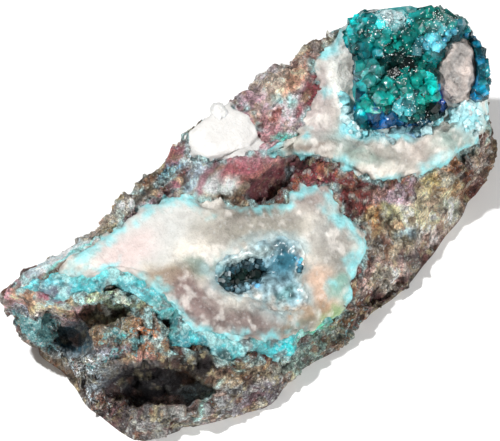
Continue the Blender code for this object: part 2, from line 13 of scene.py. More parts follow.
import bpy
import numpy as np
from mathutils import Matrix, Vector


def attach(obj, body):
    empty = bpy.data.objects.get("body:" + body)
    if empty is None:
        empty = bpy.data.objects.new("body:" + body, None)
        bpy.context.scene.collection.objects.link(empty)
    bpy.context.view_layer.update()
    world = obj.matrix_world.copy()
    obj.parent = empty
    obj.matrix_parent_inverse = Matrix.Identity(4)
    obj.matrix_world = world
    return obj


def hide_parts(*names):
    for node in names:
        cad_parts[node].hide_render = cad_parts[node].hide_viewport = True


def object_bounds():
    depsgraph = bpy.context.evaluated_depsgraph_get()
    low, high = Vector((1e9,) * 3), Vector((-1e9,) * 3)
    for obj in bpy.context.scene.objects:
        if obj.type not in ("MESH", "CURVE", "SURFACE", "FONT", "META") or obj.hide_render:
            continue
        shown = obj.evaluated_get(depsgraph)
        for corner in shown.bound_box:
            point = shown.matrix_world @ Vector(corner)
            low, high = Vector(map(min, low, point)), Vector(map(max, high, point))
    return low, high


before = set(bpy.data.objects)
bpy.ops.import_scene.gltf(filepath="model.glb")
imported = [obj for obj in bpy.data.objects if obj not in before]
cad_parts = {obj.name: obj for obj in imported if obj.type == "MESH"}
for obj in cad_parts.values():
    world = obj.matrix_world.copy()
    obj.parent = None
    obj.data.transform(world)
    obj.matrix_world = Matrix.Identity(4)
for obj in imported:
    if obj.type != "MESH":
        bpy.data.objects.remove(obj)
cad_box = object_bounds()
print("CAD box, mm:", [round(1000 * (b - a), 1) for a, b in zip(*cad_box)])

# %% [markdown]
# ## The display plane
#
# A collector sketches a specimen as it faces the viewer, so places on it are given here as (right,
# up) in millimetres on a plane that faces the viewer, as they are in the part's own source. The
# three directions below go between that plane and the model. A small shift moves the drawn
# coordinates to the model's, whose origin is under the middle of its box.

# %% Directions
MM = 0.001  # metres in a millimetre
VIEW_TURN = math.radians(-45)
VIEW_RISE = math.radians(52)
RIGHT = np.array([math.cos(VIEW_TURN), math.sin(VIEW_TURN), 0.0])
TO_VIEWER = np.array(
    [
        math.sin(VIEW_TURN) * math.cos(VIEW_RISE),
        -math.cos(VIEW_TURN) * math.cos(VIEW_RISE),
        math.sin(VIEW_RISE),
    ]
)
UP = np.cross(TO_VIEWER, RIGHT)
DISPLAY_MIDDLE = (-2.8, 7.8)  # where the middle of the display plane lies along RIGHT and UP
CENTRING = np.array([-1.0, 0.2, 0.0])  # from drawn coordinates to the model's


def display(points):
    """(right, up) of each point: its lengths along RIGHT and UP, less the plane's middle."""
    return np.stack(
        [points @ RIGHT - DISPLAY_MIDDLE[0], points @ UP - DISPLAY_MIDDLE[1]], axis=-1
    )


print("towards the viewer:", TO_VIEWER.round(3))

# %% [markdown]
# ## Camera and light
#
# A specimen this size is best seen from well back through a long lens, so that its far end isn't
# drawn smaller than its near end. The main light is small enough to draw crisp shadows under the
# ledges and a glint on each crystal, and stands high over the left shoulder of the piece. A softer
# one further off opens the side walls on the right, a weaker one the broken end on the left, and an
# even white sky fills what is left.

# %% Make the camera and the lights
FACE_NEARNESS = 19.0  # how far the middle of the display face stands towards the viewer
LENS, SENSOR = 500, 36  # a long lens and a common sensor width
SEEN_WIDTH = 100  # the width that fills the frame at the target
SKY_STRENGTH = 0.19
target = RIGHT * DISPLAY_MIDDLE[0] + UP * DISPLAY_MIDDLE[1] + TO_VIEWER * FACE_NEARNESS + CENTRING
target = target * MM


def aim(obj, place):
    """Puts an object at a place in metres, with its -Z axis pointing at the target."""
    obj.location = Vector(place)
    obj.rotation_euler = (Vector(target) - Vector(place)).to_track_quat("-Z", "Y").to_euler()
    bpy.context.scene.collection.objects.link(obj)


camera = bpy.data.objects.new("camera", bpy.data.cameras.new("camera"))
camera.data.lens = LENS
camera.data.sensor_width = SENSOR
camera.data.clip_start = 0.05
aim(camera, target + TO_VIEWER * SEEN_WIDTH * LENS / SENSOR * MM)
bpy.context.scene.camera = camera
bpy.context.scene.view_settings.view_transform = "Standard"
bpy.context.scene.view_settings.look = "None"


def area_light(name, way, distance, size, watts):
    """A round area light that stands at a distance in metres along a way, and faces the target."""
    light = bpy.data.objects.new(name, bpy.data.lights.new(name, "AREA"))
    light.data.shape = "DISK"
    light.data.size = size
    light.data.energy = watts
    way = np.asarray(way) / np.linalg.norm(way)
    aim(light, target + way * distance)


# Name, way from the target, distance and size in metres, watts.
for row in (
    ("key_light", RIGHT * -0.45 + UP * 0.6 + TO_VIEWER * 0.75, 0.7, 0.045, 5.4),
    ("right_light", RIGHT * 0.95 - UP * 0.35 + TO_VIEWER * 0.8, 0.9, 0.20, 7.8),
    ("left_light", RIGHT * -0.9 - UP * 0.6 + TO_VIEWER * 0.5, 0.9, 0.12, 4.6),
):
    area_light(*row)

sky = bpy.data.worlds.new("even_sky")
sky.use_nodes = True
background = sky.node_tree.nodes["Background"].inputs
background["Color"].default_value = (1, 1, 1, 1)
background["Strength"].default_value = SKY_STRENGTH
bpy.context.scene.world = sky
print("camera stands", round((camera.location - Vector(target)).length * 1000), "mm away")

# %% [markdown]
# ## One way to store a piece
#
# Every piece is worked out as numpy arrays in millimetres and then put into a mesh whose object
# stays at the origin. Colours that vary from place to place are stored on the points, and the
# materials read them. A colour is written as it looks on a screen, and one function turns it into
# the linear light that Blender mixes.

# %% Colours, meshes and nodes


def linear(text):
    """Linear light of an sRGB colour: each channel is c/12.92, or ((c+0.055)/1.055)^2.4 if brighter."""
    c = np.array([int(text[i : i + 2], 16) / 255 for i in (1, 3, 5)])
    return np.where(c <= 0.04045, c / 12.92, ((c + 0.055) / 1.055) ** 2.4)


def store(name, points, faces, material, slot, smooth=True, **fields):
    """Stores points in millimetres and groups of faces as a piece that rides on the specimen.

    A field is one number or one colour for each point, and becomes an attribute of that name.
    """
    mesh = bpy.data.meshes.new(name)
    lists = [face for group in faces for face in group.tolist()]
    mesh.from_pydata(((points + CENTRING) * MM).tolist(), [], lists)
    for field, values in fields.items():
        values = np.asarray(values, np.float32)
        kind, key_name = ("FLOAT", "value") if values.ndim == 1 else ("FLOAT_COLOR", "color")
        if values.ndim == 2:
            values = np.column_stack([values, np.ones(len(values), np.float32)])
        mesh.attributes.new(field, kind, "POINT").data.foreach_set(key_name, values.ravel())
    mesh.polygons.foreach_set("use_smooth", np.full(len(mesh.polygons), smooth))
    mesh.materials.append(material)
    mesh.update()
    piece = bpy.data.objects.new(name, mesh)
    bpy.context.scene.collection.objects.link(piece)
    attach(piece, "root")
    triangles = sum(len(group) * (group.shape[1] - 2) for group in faces)
    print(f"{name}: {len(points)} points, {triangles} triangles")
    return piece


# Inputs go by name, or by place where several share a name. In Map Range 1 and 2 are the range that
# comes in, 3 and 4 the one that goes out. In Mix 0 is the share, 6 and 7 are the two colours.
def fill(tree, made, inputs):
    """Gives each input a number, a colour, a link from a socket, or one from a node's first output."""
    for socket, value in inputs.items():
        if isinstance(value, bpy.types.Node):
            value = next(output for output in value.outputs if output.enabled)
        if isinstance(value, bpy.types.NodeSocket):
            tree.links.new(value, made.inputs[socket])
        else:
            made.inputs[socket].default_value = (*linear(value), 1) if isinstance(value, str) else value


def node(tree, kind, inputs=None, **settings):
    """Adds one node: settings go to its fields, and inputs are filled or linked."""
    made = tree.nodes.new(kind)
    for field, value in settings.items():
        setattr(made, field, value)
    fill(tree, made, inputs or {})
    return made


def blank_material(name):
    """A new material with only a Principled shader and its output, and its tree and shader."""
    made = bpy.data.materials.new(name)
    made.use_nodes = True
    made.node_tree.nodes.clear()
    shader = node(made.node_tree, "ShaderNodeBsdfPrincipled")
    node(made.node_tree, "ShaderNodeOutputMaterial", {"Surface": shader.outputs[0]})
    return made, made.node_tree, shader


print("iron oxide red, linear:", linear("#7a4a42").round(3))

# %% [markdown]
# ## Floor
#
# The specimen lies on a large sheet of paper. One face is enough for it, since its edges are never
# seen. It belongs to the stage and not to the specimen, so it isn't stored as a piece.

# %% Lay the floor
FLOOR_REACH = 2.0  # metres from the middle of the sheet to its edge

# Paper, matt and nearly white: no gloss, so the shadow on it is soft and even.
paper, paper_tree, paper_shader = blank_material("matt_paper")
fill(paper_tree, paper_shader, {"Base Color": "#fdfdfc", "Roughness": 0.9, "Specular IOR Level": 0.1})
floor_mesh = bpy.data.meshes.new("floor")
corners = [(x * FLOOR_REACH, y * FLOOR_REACH, 0) for x, y in ((-1, -1), (1, -1), (1, 1), (-1, 1))]
floor_mesh.from_pydata(corners, [], [(0, 1, 2, 3)])
floor_mesh.materials.append(paper)
floor = bpy.data.objects.new("floor", floor_mesh)
bpy.context.scene.collection.objects.link(floor)
print("floor, m:", 2 * FLOOR_REACH, "square")

# %% [markdown]
# ## Noise
#
# Broken rock has no smooth lines. Three kinds of repeatable noise make its relief. Smooth noise
# gives swells. Cells, the pattern of foam, give chips when each cell is a small tilted plane, and
# give beads when each cell is a dome, which is how chrysocolla grows.

# %% Noise, chips and beads


def lattice_values(cells, seed):
    """A repeatable random number from -1 to 1 for each whole-numbered cell."""
    x, y, z = (cells[..., i].astype(np.int64) for i in range(3))
    n = (x * 374761393 + y * 668265263 + z * 1274126177 + seed * 974634777) & 0xFFFFFFFF
    n = ((n ^ (n >> 13)) * 1103515245) & 0xFFFFFFFF
    return ((n ^ (n >> 16)) & 0xFFFF) / 32767.5 - 1.0


def noise(points, size, seed):
    """Random numbers at the corners of boxes of that size, blended by S-curves inside each box."""
    q = points / size
    base = np.floor(q)
    f = q - base
    f = f * f * (3 - 2 * f)
    total = 0.0
    for corner in np.ndindex(2, 2, 2):
        weight = np.prod(np.where(np.array(corner) == 1, f, 1 - f), axis=-1)
        total = total + weight * lattice_values(base + np.array(corner), seed)
    return total


def octaves(points, size, seed, count=3):
    """Noise with finer noise on it, each half the size and half the height of the last."""
    return sum(noise(points, size / 2**k, seed + 31 * k) / 2**k for k in range(count))


def foam(points, size, seed):
    """For each point, in cell sizes: the distance to the nearest cell middle, the cell, and the way there."""
    q = points / size
    base = np.floor(q)
    near = np.full(len(q), 9.0)
    cell, way = base.copy(), np.zeros_like(q)
    for step in np.ndindex(3, 3, 3):
        other = base + np.array(step) - 1
        middle = np.stack([lattice_values(other, seed + k) for k in range(3)], axis=-1)
        to = q - (other + 0.5 + 0.4 * middle)
        far = np.linalg.norm(to, axis=1)
        closer = far < near
        near = np.where(closer, far, near)
        cell = np.where(closer[:, None], other, cell)
        way = np.where(closer[:, None], to, way)
    return near, cell, way


def chips(points, size, seed):
    """Each foam cell is a flat chip: a random height plus a random slope times the way across it."""
    _, cell, way = foam(points, size, seed)
    slope = np.stack([lattice_values(cell, seed + k) for k in (3, 4, 5)], axis=-1)
    return np.clip(0.5 * lattice_values(cell, seed + 6) + (way * slope).sum(1), -1, 1)


def beads(points, size, seed):
    """Each foam cell is a dome: 1 at its middle, falling with the square of the distance."""
    near, _, _ = foam(points, size, seed)
    return np.clip(1 - 2.2 * near**2, 0, 1)


def smooth(x):
    """0 below 0, 1 above 1, and an S-curve between."""
    x = np.clip(x, 0.0, 1.0)
    return x * x * (3 - 2 * x)


spread = noise(np.random.default_rng(1).uniform(0, 90, (4000, 3)), 5.0, 1)
print("noise runs from", spread.min().round(2), "to", spread.max().round(2))

# %% [markdown]
# ## The broken skin
#
# The outside of the specimen is the one its solids have: a wedge with walls, a leaning display
# face and a flat base, then a list of forms that stand towards the viewer. The solids were cut from
# it with few faces. Here the same skin is worked out again on a grid of about 0.4 mm, so there is
# room for chips and grains. The tables repeat the part's own driving dimensions.

# %% The skin's driving dimensions
FACE_HEIGHT = 23.0  # height of the display face above the base, at Y = 0
FACE_SLOPE = 0.47  # rise of the display face for each millimetre towards the back
END_FALL_START = -36.0  # X at which the face starts to fall towards the broken end
END_FALL = 0.030  # how fast it falls, per millimetre squared
END_RISE_START = 30.0  # X at which the face starts to rise under the dioptase
END_RISE = 0.020  # how fast it rises, per millimetre squared
POOL_DEPTH = 9.0  # how deep the calcite pool reaches into the rock, seen by the viewer
SHEET_DEPTH = 8.0  # the same for the calcite sheet under the dioptase
PATCH_DEPTH = 4.5  # the same for the small white patch
CRUST_DEPTH = 3.0  # the same for the chrysocolla crust
POCKET_DEPTH = 6.5  # the same for the lining of the crystal pocket
PLAN_MIDDLE = (0.0, -3.0)  # X and Y that the walls swell away from
WALL_BULGE = 1.5  # how far the walls swell between base and rim
CRUST_RISE = 0.7  # how far the chrysocolla crust stands proud
CRUST_LUMPS = 0.6  # how far its lumps go up and down
GRID = (270, 135, 56, 8)  # cells along and across the face, down the walls and in under the base

# Stations round the rock from the near left corner: base x, base y, then x, y and z of the rim.
STATIONS = (
    (-48.4, -13.9, -38.0, -8.0, 18.5),
    (-38.0, -21.0, -34.5, -15.0, 15.5),
    (-28.0, -25.0, -27.5, -20.5, 12.5),
    (-17.6, -25.6, -18.5, -24.0, 9.5),
    (-7.3, -26.3, -8.6, -25.0, 8.5),
    (2.5, -26.0, 0.0, -23.5, 11.0),
    (14.0, -24.6, 10.0, -19.5, 13.5),
    (26.5, -23.0, 20.0, -14.5, 16.5),
    (36.5, -20.5, 32.0, -15.5, 16.0),
    (43.5, -18.0, 42.0, -15.6, 17.0),
    (52.0, -13.0, 50.5, -12.0, 22.0),
    (54.0, -5.0, 53.0, -5.0, 29.0),
    (53.0, 4.0, 51.0, 3.5, 33.0),
    (45.0, 17.0, 43.0, 11.0, 32.0),
    (30.0, 23.0, 30.0, 14.5, 30.0),
    (12.0, 25.0, 13.0, 16.0, 30.0),
    (-6.0, 25.0, -5.0, 16.6, 29.5),
    (-24.0, 24.5, -22.0, 15.0, 28.4),
    (-38.0, 24.0, -37.0, 13.5, 27.5),
    (-46.0, 22.0, -53.5, 19.5, 21.5),
    (-49.0, 16.0, -51.5, 14.0, 22.0),
    (-49.5, 8.0, -47.5, 8.5, 22.0),
    (-51.5, -3.0, -42.0, 1.5, 21.5),
)
CORNERS = (0, 10, 13, 19, 23)  # stations at the four corners, and the first one again

# Forms: name, right, up, half width, half height, turn, rise to the viewer, softness, two tilts.
ROCK_FORMS = (
    ("maroon block", 1.5, 11.5, 9.5, 3.2, 36, 2.6, 0.25, 0.10, -0.30),
    ("shaded step", 3.5, 7.5, 6.0, 4.0, 20, -1.4, 0.45, 0.0, 0.0),
    ("maroon bench", 14.5, 9.0, 7.0, 2.6, -12, 1.3, 0.35, 0.0, 0.0),
    ("brown saddle", 20.0, 4.0, 4.0, 4.5, 0, 1.0, 0.50, 0.0, 0.0),
    ("rusty shoulder", 6.0, 23.5, 9.5, 6.5, 28, 2.0, 0.40, 0.0, 0.0),
    ("rusty tooth", 14.5, 27.0, 2.5, 3.5, 0, 0.8, 0.30, 0.0, 0.0),
    ("end brow", -38.0, -14.0, 10.0, 3.0, -4, 1.4, 0.40, 0.0, 0.0),
    ("left hollow", -35.5, -23.5, 5.5, 3.6, -20, -4.2, 0.35, 0.0, 0.0),
    ("upper hollow", -28.0, -18.8, 5.0, 2.2, 8, -4.0, 0.35, 0.0, 0.0),
    ("rusty ledge", -23.5, -24.6, 8.8, 4.6, -4, 2.2, 0.20, 0.0, -0.20),
    ("lower hollow", -18.5, -33.0, 10.5, 3.9, -2, -5.0, 0.30, 0.0, 0.0),
    ("grey apron", -32.0, -31.5, 6.0, 5.5, -40, 1.8, 0.40, 0.0, 0.0),
    ("foot ridge", -15.0, -40.0, 12.0, 3.4, 12, 2.0, 0.35, 0.0, 0.0),
    ("front lip", 2.0, -34.5, 9.0, 3.2, 22, 1.4, 0.40, 0.0, 0.0),
    ("right hollow", 26.5, -13.6, 4.0, 1.8, 38, -3.0, 0.35, 0.0, 0.0),
    ("ochre wall", 33.0, -0.5, 8.0, 6.5, 30, 1.2, 0.60, 0.0, 0.0),
    ("brown horn", 45.5, 13.2, 4.2, 3.2, 50, 2.4, 0.35, 0.0, 0.0),
    ("crack", 27.8, -1.5, 2.6, 0.8, -52, -1.4, 0.40, 0.0, 0.0),
)
CALCITE_FORMS = (
    ("pool swell", -12.0, -4.0, 20.0, 7.0, 10, 1.2, 0.70, 0.0, 0.0),
    ("left lump", -14.5, -13.0, 4.4, 3.4, -30, 1.5, 0.55, 0.0, 0.0),
    ("middle lump", -7.6, -17.2, 4.6, 3.6, -20, 1.7, 0.50, 0.0, 0.0),
    ("low lump", 1.0, -20.0, 5.0, 2.4, 8, 1.6, 0.50, 0.0, 0.0),
    ("right lump", 11.0, -19.3, 5.0, 2.6, 10, 1.3, 0.50, 0.0, 0.0),
    ("peach lump", 14.6, -12.8, 4.2, 4.4, 0, 1.4, 0.55, 0.0, 0.0),
    ("right ridge", 18.5, -6.6, 4.6, 2.6, 20, 1.4, 0.50, 0.0, 0.0),
    ("neck", 12.5, 1.8, 5.0, 5.0, 0, 0.8, 0.60, 0.0, 0.0),
    ("sheet left arm", 14.5, 21.0, 3.5, 11.0, -18, 1.4, 0.60, 0.0, 0.0),
    ("sheet lobe 1", 14.0, 14.4, 6.0, 2.6, -8, 1.5, 0.45, 0.0, 0.0),
    ("sheet lobe 2", 25.0, 12.4, 5.0, 4.0, 10, 2.2, 0.45, 0.0, 0.0),
    ("sheet lobe 3", 36.0, 14.4, 6.0, 3.4, 20, 2.0, 0.45, 0.0, 0.0),
    ("sheet corner", 44.5, 18.5, 4.0, 5.0, -20, 1.2, 0.50, 0.0, 0.0),
    ("white patch", -5.5, 18.6, 7.0, 5.4, 30, 2.2, 0.50, 0.0, 0.0),
    ("crystal pocket", -1.4, -10.9, 5.0, 3.0, 12, -4.0, 0.40, 0.0, 0.0),
    ("blue slope", 6.4, -9.9, 4.2, 5.2, -8, -2.2, 0.45, 0.0, 0.0),
    ("pocket lip", 7.6, -16.6, 3.4, 1.6, 10, -1.0, 0.50, 0.0, 0.0),
)

# Outlines of the minerals on the display plane, (right, up), clockwise from the left.
POOL_OUTLINE = (
    (-37.5, -10.3), (-30.0, -4.5), (-22.0, 1.3), (-13.0, 4.8), (-9.0, 3.0), (-1.0, 3.1),
    (7.0, 3.6), (8.8, 6.6), (15.6, 6.8), (18.0, 2.0), (23.5, -4.0), (22.4, -8.3),
    (20.0, -13.0), (20.4, -18.2), (15.0, -20.9), (8.0, -22.8), (0.0, -23.4), (-8.0, -22.8),
    (-13.4, -19.5), (-17.0, -15.5), (-20.5, -11.6), (-27.0, -10.4), (-32.0, -11.8),
)
SHEET_OUTLINE = (
    (13.5, 31.0), (17.0, 36.5), (20.0, 41.0), (26.0, 45.0), (38.0, 45.0), (46.0, 39.0),
    (48.2, 31.0), (49.2, 24.0), (48.0, 17.5), (44.0, 13.2), (38.0, 11.0), (30.5, 7.4), (25.0, 7.0),
    (21.5, 9.8), (16.0, 10.8), (9.5, 12.0), (3.0, 14.0), (8.5, 16.5), (11.5, 19.5),
    (14.6, 24.5), (15.0, 28.0),
)
PATCH_OUTLINE = (
    (-12.4, 15.0), (-12.0, 18.0), (-9.6, 21.6), (-8.6, 24.4), (-5.4, 25.0), (-3.6, 23.4),
    (-1.0, 22.4), (0.6, 18.6), (2.2, 16.2), (0.2, 14.2), (-4.0, 12.8), (-9.0, 12.2),
)
CRUST_OUTLINE = (
    (-47.0, -13.2), (-42.0, -11.4), (-35.5, -10.2), (-31.0, -10.0), (-26.0, -8.6),
    (-20.0, -9.6), (-15.0, -13.0), (-11.5, -17.0), (-6.0, -20.5), (2.0, -21.0), (8.0, -20.4),
    (14.0, -18.6), (17.6, -18.4), (19.2, -20.4), (17.6, -22.4), (14.0, -25.0),
    (10.4, -26.4), (8.0, -27.6), (4.4, -26.4), (0.8, -27.0), (-2.8, -28.6), (-6.6, -28.8),
    (-10.0, -27.6), (-14.0, -26.2), (-17.2, -24.0), (-19.8, -21.8), (-21.4, -17.6),
    (-24.4, -15.4), (-30.0, -15.8), (-35.0, -15.6), (-40.0, -15.2), (-44.0, -14.8),
)
POCKET_OUTLINE = (
    (-7.4, -9.5), (-5.6, -7.1), (-2.0, -5.9), (2.4, -4.3), (7.0, -3.9), (10.0, -5.1),
    (10.8, -8.3), (10.0, -11.9), (10.6, -15.9), (9.2, -18.3), (5.6, -18.3), (2.4, -16.3),
    (0.0, -15.1), (-3.6, -14.3), (-6.4, -13.5),
)
print(len(STATIONS), "stations,", len(ROCK_FORMS) + len(CALCITE_FORMS), "forms")

# %% [markdown]
# ## From a cube to the skin
#
# A grid on a cube has six-sided order but no poles on the parts that show. skin() maps the cube's
# four sides onto the walls, its top onto the display face and its bottom onto the base.

# %% Map the cube onto the skin


def unit(vectors):
    """Each vector over its length."""
    return vectors / np.maximum(np.linalg.norm(vectors, axis=-1, keepdims=True), 1e-9)


def curve_through(points, steps):
    """A closed Catmull-Rom curve through the points, sampled at steps places in each span."""
    p1 = np.asarray(points, float)
    p0, p2, p3 = np.roll(p1, 1, 0), np.roll(p1, -1, 0), np.roll(p1, -2, 0)
    t = (np.arange(steps) / steps)[None, :, None]
    p0, p1, p2, p3 = (p[:, None, :] for p in (p0, p1, p2, p3))
    curve = 0.5 * (
        2 * p1
        + (p2 - p0) * t
        + (2 * p0 - 5 * p1 + 4 * p2 - p3) * t**2
        + (3 * p1 - p0 - 3 * p2 + p3) * t**3
    )
    return curve.reshape(-1, curve.shape[-1])


def face_height(x, y):
    """A slope over the plan that falls with the square of x at one end and rises so at the other."""
    fall = END_FALL * np.clip(END_FALL_START - x, 0, None) ** 2
    rise = END_RISE * np.clip(x - END_RISE_START, 0, None) ** 2
    return FACE_HEIGHT + FACE_SLOPE * y - fall + rise


def plan_of(right, up):
    """The point of the display face seen at (right, up), found by stepping along the line of sight."""
    across = right + DISPLAY_MIDDLE[0]
    level = up + DISPLAY_MIDDLE[1]
    away = np.zeros_like(across)
    for _ in range(12):
        x = across * RIGHT[0] + away * -RIGHT[1]
        y = across * RIGHT[1] + away * RIGHT[0]
        z = face_height(x, y)
        away = (level - z * UP[2]) / math.sin(VIEW_RISE)
    return np.stack([x, y, z], axis=-1)


def rim_and_foot(side):
    """The stations as a closed smooth curve, read at places from 0 to 4 round the square."""
    steps = 64
    table = curve_through(STATIONS, steps)
    knot = np.interp(side % 4, range(5), CORNERS) * steps
    low = np.floor(knot).astype(int)
    share = (knot - low)[..., None]
    return table[low % len(table)] * (1 - share) + table[(low + 1) % len(table)] * share


def patch_between(u, v):
    """A Coons patch: front and back rims blended across, plus end rims blended along, less corners."""
    front, back = rim_and_foot(u)[:, 2:4], rim_and_foot(3 - u)[:, 2:4]
    end, start = rim_and_foot(1 + v)[:, 2:4], rim_and_foot(4 - v)[:, 2:4]
    corner = rim_and_foot(np.arange(4.0))[:, 2:4]
    u, v = u[:, None], v[:, None]
    corners = (1 - v) * ((1 - u) * corner[0] + u * corner[1])
    corners = corners + v * (u * corner[2] + (1 - u) * corner[3])
    return (1 - v) * front + v * back + (1 - u) * start + u * end - corners


def skin(cube):
    """Walls rise from base to rim with a sine bulge, the face is a patch, the base shrinks to its middle."""
    qx, qy, qz = cube.T
    reach = np.maximum(np.abs(qx), np.abs(qy))
    safe = np.where(reach == 0, 1, reach)
    ex, ey = qx / safe, qy / safe
    side = np.select(
        [ey <= -1 + 1e-6, ex >= 1 - 1e-6, ey >= 1 - 1e-6],
        [(ex + 1) / 2, 1 + (ey + 1) / 2, 2 + (1 - ex) / 2],
        3 + (1 - ey) / 2,
    )
    ring = rim_and_foot(side)
    rise = (qz + 1) / 2
    middle = np.array(PLAN_MIDDLE)
    on_top, on_base = qz > 1 - 1e-6, qz < -1 + 1e-6
    out = unit(ring[:, :2] - middle)
    wall = ring[:, :2] + (ring[:, 2:4] - ring[:, :2]) * rise[:, None]
    wall = wall + out * (WALL_BULGE * np.sin(np.pi * rise))[:, None]
    face = patch_between((qx + 1) / 2, (qy + 1) / 2)
    foot = middle + (ring[:, :2] - middle) * reach[:, None]
    plan = np.where(on_top[:, None], face, np.where(on_base[:, None], foot, wall))
    drop = ring[:, 4] - face_height(ring[:, 2], ring[:, 3])
    top = face_height(plan[:, 0], plan[:, 1]) + drop * reach**6
    height = np.where(on_top, top, np.where(on_base, 0.0, ring[:, 4] * rise))
    return np.column_stack([plan, height])


def cube_grid(nx, ny, nz, nb):
    """A closed cube from -1 to 1: a top grid, wall loops hanging from its rim, base loops and a pole."""
    i, j = np.meshgrid(np.arange(nx + 1), np.arange(ny + 1), indexing="ij")
    top = np.stack([2 * i / nx - 1, 2 * j / ny - 1, np.ones(i.shape)], axis=-1).reshape(-1, 3)
    ids = np.arange(len(top)).reshape(nx + 1, ny + 1)
    rim = np.concatenate([ids[:-1, 0], ids[-1, :-1], ids[:0:-1, -1], ids[0, :0:-1]])
    around = top[rim, :2]
    wall = [np.column_stack([around, np.full(len(rim), 1 - 2 * k / nz)]) for k in range(1, nz + 1)]
    foot = [np.column_stack([around * (1 - k / nb), np.full(len(rim), -1.0)]) for k in range(1, nb)]
    points = np.concatenate([top, *wall, *foot, [[0, 0, -1]]])
    loops = len(top) + np.arange((nz + nb - 1) * len(rim)).reshape(-1, len(rim))
    loops = np.concatenate([rim[None], loops])
    flat = np.stack([ids[:-1, :-1], ids[1:, :-1], ids[1:, 1:], ids[:-1, 1:]], axis=-1)
    after = np.roll(loops, -1, 1)
    band = np.stack([loops[1:], after[1:], after[:-1], loops[:-1]], axis=-1)
    quads = np.concatenate([flat.reshape(-1, 4), band.reshape(-1, 4)])
    pole = np.full(len(rim), len(points) - 1)
    fan = np.column_stack([loops[-1], pole, after[-1]])
    return points, quads, fan


cube, quads, fan = cube_grid(*GRID)
smooth_skin = skin(cube)
print(len(cube), "points on the skin, box", np.ptp(smooth_skin, axis=0).round(1))

# %% [markdown]
# ## Edges of the minerals
#
# Each mineral has an outline on the display plane. inside() gives how deep a place lies inside it,
# in millimetres. It compares every place with every edge, so the places go through in batches.

# %% Distances to the outlines


def inside(outline, places):
    """Signed distance from each place to the nearest edge of the outline, positive inside."""
    a = curve_through(outline, 6)
    b = np.roll(a, -1, 0)
    edge = b - a
    slope = edge[:, 0] / np.where(edge[:, 1] == 0, 1e-9, edge[:, 1])
    found = []
    for some in np.array_split(places, max(1, len(places) // 4000)):
        rel = some[:, None, :] - a[None]
        t = np.clip((rel * edge).sum(-1) / (edge * edge).sum(-1), 0, 1)
        near = ((rel - t[..., None] * edge) ** 2).sum(-1).min(1) ** 0.5
        y = some[:, None, 1]
        crosses = (a[:, 1] > y) != (b[:, 1] > y)
        at = a[:, 0] + (y - a[:, 1]) * slope
        odd = (crosses & (some[:, None, 0] < at)).sum(1) % 2 == 1
        found.append(np.where(odd, near, -near))
    return np.concatenate(found)


def above_floor(outline, depth, points):
    """Height over a mineral's floor: the plane that fits the face along its outline, sunk by depth."""
    ring = curve_through(outline, 2)
    face = plan_of(ring[:, 0], ring[:, 1])
    table = np.column_stack([face[:, :2], np.ones(len(face))])
    slope_x, slope_y, height = np.linalg.lstsq(table, face[:, 2], rcond=None)[0]
    on_floor = np.array([0.0, 0.0, height]) - TO_VIEWER * depth
    normal = np.array([-slope_x, -slope_y, 1.0])
    return (points - on_floor) @ normal / np.linalg.norm(normal)


def turned(right, up, turn, places):
    """Lengths along and across a form's own axes, which are turned by so many degrees."""
    c, s = math.cos(math.radians(turn)), math.sin(math.radians(turn))
    dx, dy = places[:, 0] - right, places[:, 1] - up
    return dx * c + dy * s, dy * c - dx * s


def form_rise(form, places):
    """A form's share falls by an S-curve across its elliptical edge, and scales its tilted rise."""
    _, right, up, wide, high, turn, rise, soft, tilt_wide, tilt_high = form
    along, across = turned(right, up, turn, places)
    far = np.hypot(along / wide, across / high)
    share = smooth((1 + soft - far) / (2 * soft))
    return share * (rise + tilt_wide * along + tilt_high * across)


def zone_share(right, up, wide, high, turn, soft, places):
    """1 in the middle of a turned ellipse, falling by an S-curve across its edge."""
    return form_rise(("", right, up, wide, high, turn, 1.0, soft, 0.0, 0.0), places)


# Breaks with sharp edges that the coarse solids only hint at, in the same columns.
BREAKS = (
    ("ledge plate", -23.6, -24.6, 8.8, 4.3, -5, 0.9, 0.10, 0.0, 0.0),
    ("under the ledge", -19.6, -32.6, 12.0, 4.0, -3, -2.2, 0.12, 0.0, 0.0),
    ("left hollow", -35.3, -23.5, 4.4, 3.0, -20, -2.4, 0.16, 0.0, 0.0),
    ("upper hollow", -28.2, -18.8, 3.9, 1.6, 4, -2.2, 0.16, 0.0, 0.0),
    ("ironstone plate", 0.9, 12.7, 7.8, 2.6, 37, 1.1, 0.10, 0.0, -0.20),
    ("ironstone shaded face", 4.5, 8.1, 6.6, 3.1, 37, -1.3, 0.20, 0.0, 0.42),
    ("ironstone bench", 14.6, 9.4, 7.6, 2.0, -14, 0.9, 0.12, 0.0, 0.0),
    ("corner hollow", 26.8, -14.2, 3.6, 1.3, 38, -1.8, 0.20, 0.0, 0.0),
    ("foot block", -20.5, -40.0, 4.4, 2.8, 10, 1.0, 0.14, 0.0, 0.0),
    ("foot crack", -14.5, -40.2, 3.6, 0.6, -24, -1.6, 0.30, 0.0, 0.0),
    ("wall crack", 28.2, -1.2, 3.0, 0.5, -52, -1.0, 0.40, 0.0, 0.0),
    ("rusty shoulder", 8.0, 27.6, 8.6, 3.2, 34, 0.8, 0.14, 0.0, 0.0),
    ("shoulder groove", 3.6, 20.4, 1.1, 4.4, -28, -1.0, 0.30, 0.0, 0.0),
    ("edge groove", -18.0, 4.2, 8.0, 0.8, 33, -0.9, 0.35, 0.0, 0.0),
    ("tip groove", -36.6, -19.0, 4.6, 0.8, 14, -1.2, 0.30, 0.0, 0.0),
    ("horn", 46.4, 12.8, 2.8, 3.4, 20, 0.9, 0.20, 0.0, 0.0),
)

